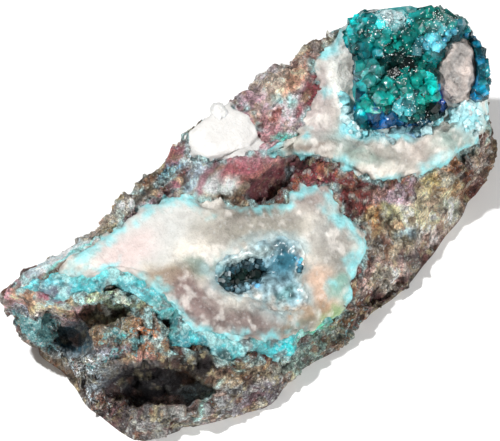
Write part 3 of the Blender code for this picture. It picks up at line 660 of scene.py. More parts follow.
plain = display(smooth_skin)
whites = np.max([inside(o, plain) for o in (POOL_OUTLINE, SHEET_OUTLINE, PATCH_OUTLINE)], 0)
blues = inside(CRUST_OUTLINE, plain)
print("calcite covers", round(100 * float((whites > 0).mean())), "% of the points")

# %% [markdown]
# ## Weathering
#
# The forms move the skin towards the viewer, and broad lumps move it outwards, just as they do in
# the part's source. Sides that face away from the display face are broken more roughly.

# %% Weather the skin


def weather(points, places, white_depth, blue_depth):
    """Moves points towards the viewer by the forms and outwards by noise, and keeps the base flat."""
    white = smooth(white_depth / 1.5 + 0.3)
    blue = smooth(blue_depth / 1.5 + 0.3) * (1 - white)
    core = np.column_stack(
        [np.clip(points[:, 0], -36, 36), np.full(len(points), -1.0), np.full(len(points), 11.0)]
    )
    out = unit(points - core)
    seen = smooth((out @ TO_VIEWER) * 1.6 + 0.45)
    ragged = places + 0.8 * np.column_stack([octaves(points, 3.0, 45), octaves(points, 3.0, 56)])
    rock = sum(form_rise(f, places) for f in ROCK_FORMS) + sum(form_rise(f, ragged) for f in BREAKS)
    pale = sum(form_rise(f, places) for f in CALCITE_FORMS)
    crust = CRUST_RISE + CRUST_LUMPS * noise(points, 4.0, 14)
    forms = rock * (1 - white) + pale * white + crust * blue
    lumps = 1.3 * noise(points, 13.0, 3) + 0.8 * noise(points, 6.0, 5)
    lumps = lumps + 0.7 * np.abs(noise(points, 9.0, 8))
    lumps = lumps * (1 - 0.75 * white)
    broken = 2.4 * noise(points, 15.0, 2) - 1.5 * np.abs(noise(points, 10.0, 6))
    lumps = lumps + broken * (1 - seen)
    moved = points + TO_VIEWER * (forms * seen)[:, None] + out * lumps[:, None]
    low = smooth(points[:, 2] / 3.0)
    moved[:, 2] = points[:, 2] + (moved[:, 2] - points[:, 2]) * low
    moved[:, 2] = np.where(points[:, 2] <= 1e-6, 0.0, np.maximum(moved[:, 2], 0.3))
    return moved, seen


def normals_of(points, quads):
    """Each point's normal: the sum of the cross products of its faces' diagonals."""
    corners = [points[quads[:, k]] for k in range(4)]
    across = np.cross(corners[2] - corners[0], corners[3] - corners[1])
    total = np.zeros_like(points)
    for corner in range(4):
        for axis in range(3):
            total[:, axis] += np.bincount(quads[:, corner], across[:, axis], len(points))
    return unit(total)


base, seen = weather(smooth_skin, plain, whites, blues)
normals = normals_of(base, quads)
volume = (base[quads[:, 0]] * np.cross(base[quads[:, 1]], base[quads[:, 2]])).sum() / 6
print("faces point outwards:", bool(volume > 0), "box, mm:", np.ptp(base, axis=0).round(1))

# %% [markdown]
# ## Where one mineral ends
#
# The weathered points are looked at again on the display plane, this time through a little drift,
# because a real contact between two minerals wanders. A mineral also ends below, at its floor. The
# smaller of the two distances says how deep a point lies inside its mineral.

# %% Depth of every point in each mineral
spots = display(base)
drift = np.column_stack([octaves(base, 4.5, 41), octaves(base, 4.5, 52)])
fine_drift = np.column_stack([octaves(base, 1.8, 47, 2), octaves(base, 1.8, 58, 2)])
wandering = spots + 0.75 * drift + 0.55 * fine_drift


def depth_in(outline, floor_depth):
    """The smaller of the distance to the wandering outline and the height over the mineral's floor."""
    return np.minimum(inside(outline, wandering), above_floor(outline, floor_depth, base))


# A thin edge breaks off here and there: mineral, right, up, half sizes, turn, softness, how far.
RETREATS = (
    ("sheet", 12.0, 11.6, 5.5, 2.2, -4, 0.5, 1.6),
    ("sheet", 29.0, 7.6, 8.0, 2.4, 6, 0.5, 1.5),
    ("sheet", 43.6, 12.4, 3.4, 2.4, 30, 0.5, 1.6),
    ("pool", 18.6, -19.6, 4.4, 2.4, 30, 0.5, 1.6),
    ("crust", -9.4, -28.2, 2.8, 2.4, 10, 0.4, 3.2),
)


def broken_off(mineral):
    """How much further in the mineral's edge lies at each point: the sum of its rows in the table."""
    rows = [row[1:] for row in RETREATS if row[0] == mineral]
    return sum(depth * zone_share(*place, spots) for *place, depth in rows)


in_pool = depth_in(POOL_OUTLINE, POOL_DEPTH) - broken_off("pool")
in_sheet = depth_in(SHEET_OUTLINE, SHEET_DEPTH) - broken_off("sheet")
in_patch = depth_in(PATCH_OUTLINE, PATCH_DEPTH)
in_crust = depth_in(CRUST_OUTLINE, CRUST_DEPTH) - broken_off("crust")
in_pocket = depth_in(POCKET_OUTLINE, POCKET_DEPTH)
in_any = np.max([in_pool, in_sheet, in_patch, in_crust], 0)
front = smooth((normals @ TO_VIEWER) * 2.0 + 0.7) * smooth(seen * 1.6)
print("points in calcite:", int((in_pool > 0).sum() + (in_sheet > 0).sum() + (in_patch > 0).sum()))

# %% [markdown]
# ## Stains, painted shade and painted light
#
# Iron and copper stain such a rock in soft-edged zones: maroon where it is solid ironstone, rust and
# ochre where water reached it, olive and turquoise where copper did. Some zones are painted shade and
# painted light instead: near black in the hollows, cracks and under the crust, the lit and shaded
# faces of the ironstone block and a painted highlight on its ridge. Each zone is one row: a name, its
# place, half sizes and turn on the display plane, the softness of its edge, its colour and how far it
# covers what lies under it. Later rows lie over earlier ones. On the sides that nobody sketches,
# broad noise mixes the same colours.

# %% Zones of colour on the rock
ROCK_ZONES = (
    ("grey green edge", -19.0, 4.7, 15.0, 2.6, 38, 0.5, "#ddc3cd", 0.9),
    ("orange brown edge", -28.0, -0.9, 6.0, 1.9, 42, 0.5, "#f3e1c8", 0.9),
    ("blue grey edge", -15.6, 10.5, 3.4, 1.9, 35, 0.4, "#9ad8f3", 0.9),
    ("blue white edge", -20.4, 5.6, 7.0, 1.6, 34, 0.4, "#cdf3f2", 0.85),
    ("maroon streak", -15.8, 6.6, 7.6, 1.3, 32, 0.35, "#b8727f", 0.95),
    ("cyan dot", -11.2, 11.2, 1.0, 0.9, 0, 0.5, "#8ae3f3", 0.9),
    ("white below the patch", -11.6, 13.2, 3.0, 2.6, 40, 0.4, "#d3ebf3", 0.95),
    ("white above the ironstone", -7.2, 12.4, 3.2, 1.5, 20, 0.5, "#f0e4f3", 0.9),
    ("maroon tip", -15.6, 13.0, 2.2, 1.3, 25, 0.4, "#a8687c", 0.95),
    ("white vein", -11.4, 8.4, 4.4, 1.5, 60, 0.4, "#c6e5f3", 0.9),
    ("white wedge", -6.0, 7.3, 4.0, 2.2, 14, 0.35, "#e4f3f0", 0.95),
    ("maroon sliver", -9.1, 8.0, 4.4, 0.7, 66, 0.5, "#98707a", 0.95),
    # Painted light and shade: the ironstone block's lit face, its shaded face and a painted highlight along
    # its ridge.
    ("lit ironstone", 0.4, 12.9, 8.4, 3.1, 34, 0.25, "#a25c66", 1.0),
    ("dark ironstone", 4.6, 7.7, 7.0, 3.2, 35, 0.2, "#683a40", 1.0),
    ("ironstone ridge", 3.0, 11.0, 6.6, 0.5, 37, 0.5, "#d08480", 0.95),
    ("ironstone bench", 15.0, 8.1, 8.5, 3.4, -14, 0.35, "#95464e", 1.0),
    ("bench shade", 10.0, 11.3, 2.8, 1.5, 0, 0.5, "#150607", 0.8),
    ("grey sliver", 7.9, 8.9, 0.7, 2.0, 10, 0.5, "#c9eaf3", 0.9),
    ("brown saddle", 20.4, 3.6, 3.4, 6.4, -10, 0.4, "#6c2d2b", 0.95),
    ("pinkish shoulder", 6.0, 24.1, 12.0, 8.0, 35, 0.5, "#f3e4ec", 0.9),
    ("orange shoulder", 9.2, 29.0, 6.4, 2.4, 34, 0.4, "#f3b89a", 0.95),
    ("tan shoulder", 5.0, 27.9, 4.4, 1.6, 36, 0.5, "#f3e7d4", 0.9),
    ("pale edge by the crystals", 17.9, 38.8, 4.8, 1.4, 55, 0.4, "#f3edd7", 0.95),
    ("brown tooth", 13.8, 28.1, 1.9, 4.2, -10, 0.4, "#803420", 0.9),
    ("turquoise bloom", 5.4, 24.4, 1.2, 1.0, 10, 0.5, "#a5eff3", 0.9),
    ("turquoise bloom 2", 8.6, 24.3, 1.3, 1.5, -20, 0.5, "#aef3ec", 0.9),
    ("maroon specks", 3.2, 18.6, 4.0, 3.0, 10, 0.5, "#c8868c", 0.85),
    ("maroon bar", 5.0, 21.4, 2.0, 0.7, 50, 0.4, "#8f5654", 0.9),
    ("maroon shoulder", 0.0, 22.9, 3.2, 3.6, -10, 0.5, "#c495a3", 0.85),
    ("maroon groove", 13.0, 25.5, 2.4, 4.2, -6, 0.35, "#7f3a41", 0.95),
    ("maroon strip", 10.2, 22.0, 0.6, 2.4, -4, 0.5, "#9c5159", 0.9),
    ("turquoise blot", 7.4, 17.0, 2.6, 0.9, 6, 0.5, "#5bf3d9", 0.95),
    ("white sliver", -38.6, -7.6, 8.6, 1.8, 27, 0.35, "#d7ebf3", 0.95),
    ("sliver line", -34.0, -6.4, 7.0, 0.35, 36, 0.6, "#88f3e8", 0.9),
    ("tip", -43.0, -16.3, 9.0, 4.0, -20, 0.4, "#daa1af", 0.95),
    ("tip ochre", -45.2, -14.6, 2.8, 1.5, -20, 0.5, "#f3c898", 0.95),
    ("tip pale ochre", -39.4, -17.3, 4.0, 1.4, -10, 0.5, "#f3d490", 0.95),
    ("tip purple", -40.4, -15.0, 5.6, 0.8, -16, 0.5, "#86525e", 0.9),
    ("tip maroon", -33.4, -18.0, 3.4, 1.8, 30, 0.4, "#f3b5b5", 0.9),
    ("end maroon", -46.5, -18.2, 1.5, 3.0, 60, 0.5, "#f3ccd8", 0.9),
    ("turquoise grains", -41.4, -22.2, 7.2, 4.0, -25, 0.4, "#b0e1f3", 0.95),
    ("olive rim", -26.4, -15.9, 7.8, 1.7, -4, 0.4, "#bdd7b4", 0.95),
    ("rusty ledge", -23.6, -24.5, 10.0, 5.0, -5, 0.3, "#9e8166", 1.0),
    ("rust on the ledge", -20.0, -22.9, 4.4, 2.2, 10, 0.6, "#c97948", 0.9),
    ("ledge turquoise", -26.4, -22.3, 2.2, 1.1, 10, 0.5, "#4ae0e3", 0.9),
    ("ledge blue", -23.0, -23.4, 2.0, 0.8, -10, 0.5, "#87e8f3", 0.9),
    ("ledge grey", -28.0, -26.0, 3.4, 1.7, 10, 0.5, "#d4cce1", 0.9),
    ("ledge pink", -22.0, -26.9, 2.8, 1.2, -15, 0.5, "#daa192", 0.9),
    ("ledge lip", -22.0, -29.0, 7.4, 0.9, 4, 0.5, "#d6d3cf", 0.9),
    ("grey grains", -31.6, -31.9, 8.4, 5.8, -40, 0.35, "#d9eaf2", 1.0),
    ("red selvage", -35.2, -35.0, 9.5, 1.3, -44, 0.5, "#310907", 0.95),
    ("upper hollow", -28.4, -18.7, 3.8, 1.6, 4, 0.4, "#95967b", 0.95),
    # Painted shade in the left and lower hollows.
    ("left hollow", -35.2, -23.6, 4.6, 3.2, -16, 0.35, "#255162", 0.97),
    ("lower hollow", -20.6, -32.3, 11.0, 4.4, -3, 0.3, "#2f2d34", 0.97),
    ("dark red foot", -27.6, -37.2, 3.4, 4.8, 24, 0.4, "#5e4848", 0.9),
    # Painted shade over the grey grains in the lower hollow.
    ("hollow grains in painted shade", -21.0, -33.2, 5.0, 1.0, -4, 0.5, "#242a35", 0.6),
    ("hollow blue grains", -11.5, -34.3, 3.0, 1.6, 30, 0.6, "#beeaf3", 0.8),
    ("rust wall", -14.8, -28.3, 2.8, 4.4, 60, 0.4, "#38291c", 0.9),
    # Painted shade, near black, at the foot under the crust.
    ("dark ironstone foot", -10.4, -29.3, 3.2, 2.4, 0, 0.4, "#020202", 0.9),
    ("brown foot", -3.0, -36.6, 17.0, 5.0, 18, 0.4, "#bcc3c2", 0.9),
    ("grey foot", -21.0, -40.5, 5.0, 3.6, 0, 0.4, "#848282", 0.9),
    # Painted shade in the crack at the foot.
    ("foot crack", -17.0, -39.5, 2.6, 0.7, -20, 0.5, "#020202", 0.9),
    ("foot rust", -16.0, -35.9, 3.0, 1.2, 0, 0.6, "#f3cdca", 0.8),
    ("purple foot", 2.0, -35.5, 7.5, 3.2, 20, 0.6, "#776672", 0.8),
    ("ochre foot", -1.0, -29.9, 9.4, 2.4, 6, 0.5, "#a18f74", 0.85),
    ("olive foot", 1.0, -26.6, 5.2, 1.3, 0, 0.5, "#441007", 0.85),
    ("orange foot", -3.6, -28.5, 2.8, 0.9, -15, 0.5, "#595b46", 0.9),
    # Painted shade, near black, under the crust.
    ("maroon foot", -8.4, -28.6, 2.6, 1.4, 0, 0.5, "#020202", 0.8),
    ("dark under the crust", -9.6, -28.9, 2.6, 3.2, 10, 0.4, "#0c0407", 0.97),
    ("grey green corner", 14.0, -25.9, 8.0, 3.4, 30, 0.5, "#88a69d", 0.9),
    ("olive corner", 16.4, -20.7, 4.4, 2.0, 30, 0.5, "#495f1b", 0.9),
    ("brown corner", 25.0, -12.9, 6.5, 4.2, 38, 0.4, "#72665f", 0.9),
    # Painted shade in the corner hollow.
    ("corner hollow", 26.4, -15.2, 4.2, 1.7, 32, 0.4, "#533034", 0.95),
    ("grey brown wall", 29.0, -7.5, 7.0, 4.4, 40, 0.4, "#7d6668", 0.9),
    ("ochre wall", 33.8, 0.5, 10.0, 5.2, 32, 0.4, "#f3e1c0", 0.95),
    ("orange wall", 24.8, 2.1, 1.7, 3.0, -10, 0.5, "#b07130", 0.9),
    ("purple grey wall", 31.6, 6.1, 7.4, 1.9, 14, 0.4, "#bca4af", 0.95),
    ("olive brown wall", 40.4, 8.9, 6.6, 3.0, 34, 0.4, "#c1bb95", 0.9),
    ("wall cream", 32.4, 0.9, 5.4, 2.3, 12, 0.4, "#f3e5be", 0.9),
    ("wall olive", 28.2, 2.2, 2.4, 1.4, -30, 0.5, "#9c9f77", 0.85),
    ("wall yellow", 38.2, 7.4, 2.6, 1.8, 30, 0.5, "#c0ac75", 0.85),
    ("wall rust", 25.4, -1.6, 1.4, 3.0, -20, 0.5, "#816542", 0.8),
    ("wall white grains", 24.6, -5.0, 3.4, 1.8, 20, 0.5, "#515353", 0.7),
    ("wall purple", 22.0, -10.0, 2.4, 2.8, 30, 0.5, "#8a524d", 0.85),
    ("wall dark", 35.0, -5.9, 4.4, 1.0, 33, 0.5, "#2b272e", 0.85),
    ("wall dark foot", 29.8, -7.2, 1.8, 1.2, 36, 0.5, "#49424c", 0.8),
    ("lit corner", 27.0, -10.9, 5.2, 2.2, 24, 0.5, "#f3cdc2", 0.95),
    ("wall pink grains", 36.4, -3.1, 4.2, 1.8, 35, 0.5, "#f3e1dc", 0.9),
    ("brown edge", 44.2, 6.6, 1.8, 3.0, 30, 0.5, "#927144", 0.85),
    ("wall turquoise", 31.6, -2.5, 2.8, 1.5, 20, 0.5, "#b9e4f3", 0.85),
    ("wall green", 41.0, 2.7, 2.2, 2.2, 30, 0.5, "#d8f3d4", 0.9),
    ("orange brown wall", 42.0, 11.3, 3.4, 1.6, 30, 0.5, "#cc8c62", 0.85),
    ("brown horn", 46.6, 12.3, 3.4, 5.2, -20, 0.3, "#c1b2a6", 1.0),
    ("wall crack", 28.4, -0.9, 2.6, 0.35, -52, 0.6, "#f3eccf", 0.9),
    ("copper vein", -9.0, -35.9, 5.2, 0.5, 53, 0.5, "#c4f3e8", 0.95),
    ("pale left end", -40.4, -19.4, 3.2, 2.2, -20, 0.5, "#f3ecf2", 0.9),
    ("blue green left end", -40.2, -22.4, 3.4, 1.6, -16, 0.5, "#a4e8f3", 0.9),
    ("pale wall by the pool", 27.0, -11.9, 2.2, 3.0, 0, 0.5, "#f3e7d4", 0.9),
    ("brown horn foot", 43.8, 9.1, 2.0, 2.0, 0, 0.5, "#562718", 0.95),
    # Painted shade deep in the upper, left and lower hollows.
    ("upper hollow dark", -28.4, -18.2, 3.8, 1.1, 8, 0.4, "#15120c", 0.95),
    ("left hollow dark", -34.8, -23.2, 3.4, 1.8, 6, 0.4, "#0b151b", 0.96),
    ("lower hollow dark", -19.2, -31.8, 8.0, 2.5, -3, 0.35, "#0b090b", 0.85),
    ("blue grey grains in the hollow", -11.4, -33.4, 3.2, 1.1, 10, 0.5, "#b8c4c8", 0.85),
    ("cream wall patch", 41.0, 0.9, 2.4, 1.8, 40, 0.5, "#f3f3e4", 0.9),
)
# Where turquoise grains are sprinkled on the rock: right, up, half sizes, turn, softness, amount.
COPPER_GRAINS = (
    (-42.0, -22.0, 7.5, 4.5, -25, 0.4, 0.50),
    (-23.6, -24.5, 9.0, 4.6, -5, 0.5, 0.27),
    (-26.0, -29.0, 9.0, 1.6, 0, 0.6, 0.34),
    (-19.0, 5.0, 15.0, 3.0, 38, 0.6, 0.14),
    (6.0, 23.0, 8.0, 6.0, 35, 0.8, 0.04),
    (36.0, -2.0, 12.0, 7.0, 34, 0.6, 0.14),
    (8.0, -28.0, 16.0, 5.0, 20, 0.6, 0.14),
    (-13.0, -33.0, 6.0, 3.0, 0, 0.6, 0.30),
    (18.0, -20.0, 8.0, 5.0, 35, 0.6, 0.22),
    (1.6, 10.6, 9.0, 5.4, 32, 0.3, 0.00),
    (-19.4, -32.3, 12.2, 4.4, -3, 0.3, 0.03),
    (17.0, 6.0, 8.0, 6.0, -20, 0.4, 0.03),
    (-43.0, -16.0, 8.0, 3.0, -10, 0.4, 0.08),
    (-35.4, -23.5, 4.6, 3.4, -20, 0.3, 0.00),
    (-28.4, -18.7, 4.2, 2.0, 4, 0.3, 0.00),
    (-20.4, -32.9, 8.8, 3.6, -2, 0.3, 0.05),
)
# How granular the rock is, in the same columns: flat ironstone and hollows have little grain.
GRAINS = (
    (1.6, 10.6, 9.0, 5.4, 32, 0.3, 0.30),
    (15.0, 8.1, 8.0, 3.2, -14, 0.4, 0.55),
    (-43.0, -16.0, 8.0, 3.0, -10, 0.4, 0.30),
    (-31.6, -31.9, 8.4, 5.8, -40, 0.4, 1.80),
    (-42.0, -22.4, 6.8, 4.0, -25, 0.4, 1.60),
    (-23.6, -24.5, 10.0, 5.0, -5, 0.4, 1.00),
    (-7.4, 7.6, 5.6, 3.0, 25, 0.4, 0.05),
    (-38.6, -7.6, 8.6, 1.8, 27, 0.4, 0.10),
    (34.0, 0.5, 11.0, 6.0, 32, 0.5, 0.50),
    (8.0, 28.0, 9.0, 3.4, 34, 0.5, 0.60),
    (5.0, 22.0, 8.0, 5.6, 30, 0.5, 0.40),
    (-35.2, -23.6, 4.6, 3.2, -16, 0.35, 0.30),
    (-28.4, -18.7, 3.8, 1.6, 4, 0.35, 0.30),
    (-19.4, -32.3, 12.2, 4.4, -3, 0.3, 0.50),
)


def amounts(start, table, places, share=1.0):
    """A number for each place: start, and over it each row's last number as far as its share says."""
    field = np.full(len(places), start)
    for *zone, amount in table:
        over = zone_share(*zone, places) * share
        field = field * (1 - over) + amount * over
    return field


def paint(colours, zones, places, share=1.0):
    """Lays each zone's colour over what is there, as far as its share says."""
    for _, right, up, wide, high, turn, soft, colour, cover in zones:
        over = zone_share(right, up, wide, high, turn, soft, places) * cover * share
        colours = colours * (1 - over)[:, None] + linear(colour) * over[:, None]
    return colours


def mix(first, second, share):
    """A straight blend between two colours or colour fields, one share for each point."""
    return first * (1 - share)[:, None] + second * share[:, None]


rough_places = spots + 0.9 * drift + 0.35 * np.column_stack([noise(base, 0.9, 61), noise(base, 0.9, 62)])
broad = octaves(base, 13.0, 71)
rock_colour = mix(linear("#6d5049"), linear("#8b7a62"), smooth(0.5 + broad))
rock_colour = mix(rock_colour, linear("#757068"), smooth(octaves(base, 9.0, 74) * 1.6))
rock_colour = mix(rock_colour, linear("#6a3f3c"), smooth(octaves(base, 11.0, 77) * 1.8 - 0.2))
rock_colour = paint(rock_colour, ROCK_ZONES, rough_places, front)
# Over the zones lie blotches of 1 to 3 mm in the same few minerals, and lighter and darker places.
BLOTCHES = (
    ("rust", 2.4, 92, "#94603f", 0.30, 0.65),
    ("ochre", 1.9, 94, "#cabd94", 0.38, 0.60),
    ("ironstone", 2.8, 96, "#6b3d3f", 0.32, 0.55),
    ("quartz", 1.5, 98, "#b4b6ae", 0.42, 0.60),
    ("manganese", 1.8, 90, "#2a201d", 0.40, 0.70),
)
# Where one mineral lies alone the blotches fade: right, up, half sizes, turn, softness, how much.
PLAIN_PLACES = (
    (1.6, 10.6, 9.0, 5.4, 32, 0.3, 1.0),  # the ironstone
    (-38.6, -7.6, 8.6, 1.8, 27, 0.4, 1.0),  # the white sliver
    (-7.4, 7.6, 5.6, 3.0, 25, 0.4, 1.0),  # the white wedge
    (-19.4, -32.3, 12.2, 4.4, -3, 0.3, 1.0),  # the lower hollow
    (-11.6, 13.2, 3.4, 3.0, 40, 0.4, 1.0),  # the white below the patch
    (-35.2, -23.6, 4.6, 3.2, -16, 0.35, 1.0),  # the left hollow
    (8.0, 24.0, 9.0, 7.0, 34, 0.5, 0.5),  # the shoulder
)
flat = sum(most * zone_share(*place, spots) for *place, most in PLAIN_PLACES)
varied = 1 - 0.8 * np.clip(flat, 0, 1) * front
for _, size, seed, colour, level, cover in BLOTCHES:
    share = cover * smooth((octaves(base, size, seed) - level) / 0.25) * varied
    rock_colour = mix(rock_colour, linear(colour), share)
tone = 1 + varied * (0.30 * octaves(base, 4.0, 88) + 0.28 * octaves(base, 1.4, 89))
rock_colour = np.clip(rock_colour * np.clip(tone, 0.4, 1.8)[:, None], 0, 1)
# Pale copper and calcite dust lies on the rock within 2 mm of the minerals.
# The two places kept free of dust are painted shade: under the crust and by the ironstone bench.
DUST_FREE = ((-9.6, -28.9, 3.2, 3.6, 10, 0.4), (9.0, 10.0, 8.0, 3.0, 0, 0.4))  # two dark, clean breaks
dust = smooth((in_any + 2.6) / 2.2) * smooth(0.2 + 1.5 * octaves(base, 1.7, 98)) * front
for place in DUST_FREE:
    dust = dust * (1 - zone_share(*place, spots))
rock_colour = mix(rock_colour, linear("#b0dcdc"), 0.85 * dust)
copper = amounts(0.10, COPPER_GRAINS, spots, front)
grain = amounts(0.8, GRAINS, spots, front)
print("mean rock colour, linear:", rock_colour.mean(0).round(3))

# %% [markdown]
# ## Stains on the calcite and the chrysocolla
#
# Calcite is white, and what colours it here is what shows through or soaked in: beige and grey where
# it is deep, peach where iron touched it and turquoise all along its edge.

# %% Zones of colour on the calcite and the chrysocolla
CALCITE_ZONES = (
    ("bright left", -20.0, -2.9, 12.0, 5.2, 32, 0.5, "#c5c5c1", 1.0),
    ("pink left", -25.0, -6.9, 6.5, 3.0, 30, 0.6, "#d0beba", 0.9),
    ("grey beige middle", 0.0, -1.5, 11.0, 3.6, 0, 0.5, "#8b877c", 0.85),
    ("grey top", 0.0, 1.9, 5.4, 1.7, 0, 0.5, "#595349", 0.8),
    ("neck", 13.0, 5.1, 5.4, 3.2, 0, 0.5, "#8b7c78", 0.8),
    ("pale right", 16.0, -1.9, 4.2, 4.2, 0, 0.5, "#a19f9a", 0.9),
    ("right", 18.0, -7.9, 3.8, 5.2, 0, 0.5, "#97938b", 0.9),
    ("peach", 13.6, -14.9, 4.2, 5.0, 0, 0.5, "#c0a38e", 0.95),
    ("over the pocket", -9.0, -9.5, 5.4, 2.2, 0, 0.6, "#6f897e", 0.8),
    ("cream", -16.0, -11.5, 5.4, 2.8, 0, 0.6, "#95826c", 0.9),
    ("pinkish lumps", -11.0, -16.9, 7.5, 4.2, -35, 0.5, "#806966", 0.9),
    ("low lumps", 0.0, -20.3, 9.0, 2.8, 0, 0.5, "#6e5d59", 0.9),
    ("tan low right", 11.6, -19.2, 5.4, 2.2, 20, 0.6, "#997955", 0.85),
    ("olive low right", 17.6, -19.0, 4.6, 2.0, 34, 0.5, "#83a46e", 0.9),
    ("blue white", 2.4, -16.9, 4.2, 1.5, 0, 0.6, "#868784", 0.8),
    ("grey band", 19.0, 16.1, 9.0, 3.2, 0, 0.5, "#a5b1ab", 0.9),
    ("beige left tip", 12.6, 14.4, 4.6, 1.9, 12, 0.5, "#7d6e62", 0.9),
    ("beige band", 29.0, 14.1, 6.5, 3.2, 0, 0.5, "#a4a198", 0.9),
    ("pale band", 35.0, 14.1, 5.0, 3.2, 10, 0.5, "#c5bab1", 0.9),
    ("green grey corner", 42.0, 16.6, 4.6, 3.6, 30, 0.5, "#99aea6", 0.9),
    ("cream arm", 15.0, 24.1, 3.6, 7.4, -20, 0.5, "#baadaa", 0.95),
    ("white arm", 18.6, 37.5, 3.2, 6.0, -20, 0.5, "#e0e9ea", 0.9),
    ("deep blue shade", 33.0, 18.7, 3.2, 1.2, 0, 0.6, "#71c7f3", 0.8),
    ("green behind the crystals", 33.0, 42.4, 10.0, 1.8, 0, 0.4, "#19989b", 0.95),
    ("cyan under crystals", 26.0, 16.9, 6.5, 1.3, -5, 0.6, "#7cdde7", 0.9),
    ("cyan left", 20.0, 20.3, 1.6, 3.4, -10, 0.6, "#87e6f3", 0.9),
    ("cyan corner", 44.6, 21.7, 3.6, 3.8, 20, 0.5, "#9ee2e9", 0.95),
    ("cyan rim", 42.0, 25.0, 2.6, 2.0, 0, 0.5, "#086380", 0.8),
    ("green edge right", 18.6, -13.3, 1.8, 2.6, 0, 0.6, "#72a497", 0.85),
    ("green edge low", 10.2, -21.5, 3.2, 1.4, 10, 0.6, "#61695d", 0.85),
    ("white rim", 18.4, 28.7, 1.8, 5.4, 0, 0.6, "#f2f3ec", 0.9),
    ("blue grey lip", -6.8, -13.2, 1.8, 1.6, 0, 0.6, "#5e7b82", 0.85),
    ("green grey low band", 22.0, 12.1, 4.4, 1.6, -8, 0.6, "#8ca096", 0.8),
)
CHRYSOCOLLA_ZONES = (
    ("bright left", -31.0, -10.9, 7.5, 1.8, 0, 0.5, "#88f2f3", 0.95),
    ("grey left", -43.0, -11.9, 5.5, 1.8, 0, 0.5, "#80e6f3", 0.9),
    ("pale run", -24.0, -13.9, 6.5, 1.8, -8, 0.5, "#7dd8e2", 0.9),
    ("deep run", -16.0, -18.9, 4.4, 2.6, -50, 0.5, "#66aba8", 0.9),
    ("teal run", -10.0, -24.9, 4.4, 2.2, -30, 0.5, "#409aa8", 0.9),
    ("grey green run", -4.0, -26.5, 4.0, 1.4, 0, 0.5, "#242c22", 0.8),
    ("bright knot", 7.4, -24.3, 3.8, 2.2, 20, 0.5, "#2ad2dc", 1.0),
    ("pale upper run", 2.0, -22.3, 6.5, 1.3, 5, 0.5, "#5a847d", 0.85),
    ("green end", 13.0, -22.9, 4.4, 2.4, 25, 0.5, "#66cc96", 0.9),
    ("maroon grey left", -38.6, -14.3, 4.4, 1.1, -12, 0.5, "#6a5a6c", 0.85),
    ("blue grey left", -33.2, -14.4, 3.6, 1.6, -22, 0.5, "#86a4b4", 0.7),
)

calcite_colour = np.tile(linear("#dcd5ca"), (len(base), 1))
calcite_colour = mix(calcite_colour, linear("#c9c4ba"), smooth(0.5 + octaves(base, 4.0, 81)))
calcite_colour = paint(calcite_colour, CALCITE_ZONES, spots + 1.2 * drift)
white_share = smooth(in_patch + 1.5)
calcite_colour = mix(calcite_colour, linear("#cfcdca"), white_share)
even = np.clip(white_share + 0.8 * zone_share(-20.0, -3.5, 13.0, 6.5, 32, 0.6, spots), 0, 1)
mottled = smooth(octaves(base, 2.6, 82) * 1.6 - 0.15) * (1 - even)
calcite_colour = mix(calcite_colour, linear("#a39c94"), 0.45 * mottled)
milky = smooth(octaves(base, 2.0, 83) * 1.8 - 0.4) * (1 - even)
calcite_colour = mix(calcite_colour, linear("#efe9e2"), 0.5 * milky)
# Copper has washed in from the edge, twice as far at the lower right, and dust lies along it.
edge_depth = np.max([in_pool, in_sheet], 0)
wash_width = 2.6 + 2.6 * smooth((spots[:, 0] - 10) / 6) * smooth((6 - spots[:, 1]) / 4)
edge_wash = 1 - smooth(edge_depth / wash_width + 0.35 * octaves(base, 1.5, 85))
edge_wash = edge_wash * smooth(0.55 + 1.2 * octaves(base, 3.4, 84)) * (1 - white_share)
calcite_colour = mix(calcite_colour, linear("#86d3d8"), 0.9 * edge_wash)
edge_dust = (1 - smooth(edge_depth / 1.3 + 0.2)) * smooth(octaves(base, 1.3, 86) * 2.0) * (1 - white_share)
calcite_colour = mix(calcite_colour, linear("#8a8078"), 0.7 * edge_dust)
near_pocket = smooth(1 + in_pocket / 3.0) * smooth(0.6 + octaves(base, 2.0, 95))
calcite_colour = mix(calcite_colour, linear("#9fbcc0"), 0.65 * near_pocket)
crust_colour = np.tile(linear("#62b4b8"), (len(base), 1))
crust_colour = paint(crust_colour, CHRYSOCOLLA_ZONES, rough_places)
# Mottling of the crust: colour, size, seed, gain, level, cover.
for colour, size, seed, gain, level, cover in (
    ("#2f747c", 1.5, 87, 2.0, 0.10, 0.75),  # deep and waxy
    ("#c4f5f4", 1.9, 88, 2.2, 0.35, 0.80),  # chalky
    ("#43d3da", 2.2, 89, 2.2, 0.30, 0.60),  # bright blue green
    ("#6b5550", 1.6, 91, 2.4, 0.80, 0.70),  # rock showing through
):
    share = cover * smooth(octaves(base, size, seed) * gain - level)
    crust_colour = mix(crust_colour, linear(colour), share)
print("calcite", calcite_colour.mean(0).round(2), "chrysocolla", crust_colour.mean(0).round(2))

# %% [markdown]
# ## Relief
#
# The rock gets chips of three sizes, the finest only where it is granular. Calcite is massive and
# swells softly, with a fine sugary grain that the material adds. Chrysocolla is a crust of beads.
# Under a mineral the rock is sunk, and a mineral's own surface dips under the rock at its edge, so
# that the two cross in a clean line.

# %% Fine relief, and the level of each surface at the contacts
low = smooth(base[:, 2] / 1.2)
crag = 1.2 * chips(base, 6.0, 100) - 1.1 * np.abs(octaves(base, 7.0, 105, 2)) + 0.3
sand = 0.36 * chips(base, 1.5, 103) + 0.20 * noise(base, 0.85, 104)
coarse = np.minimum(grain, 1.0)
rock_relief = crag * (0.2 + 0.8 * coarse) + chips(base, 2.9, 102) * (0.25 + 0.75 * coarse)
rock_relief = rock_relief - 0.3 * (1 - front) + sand * (0.1 + 0.9 * coarse)
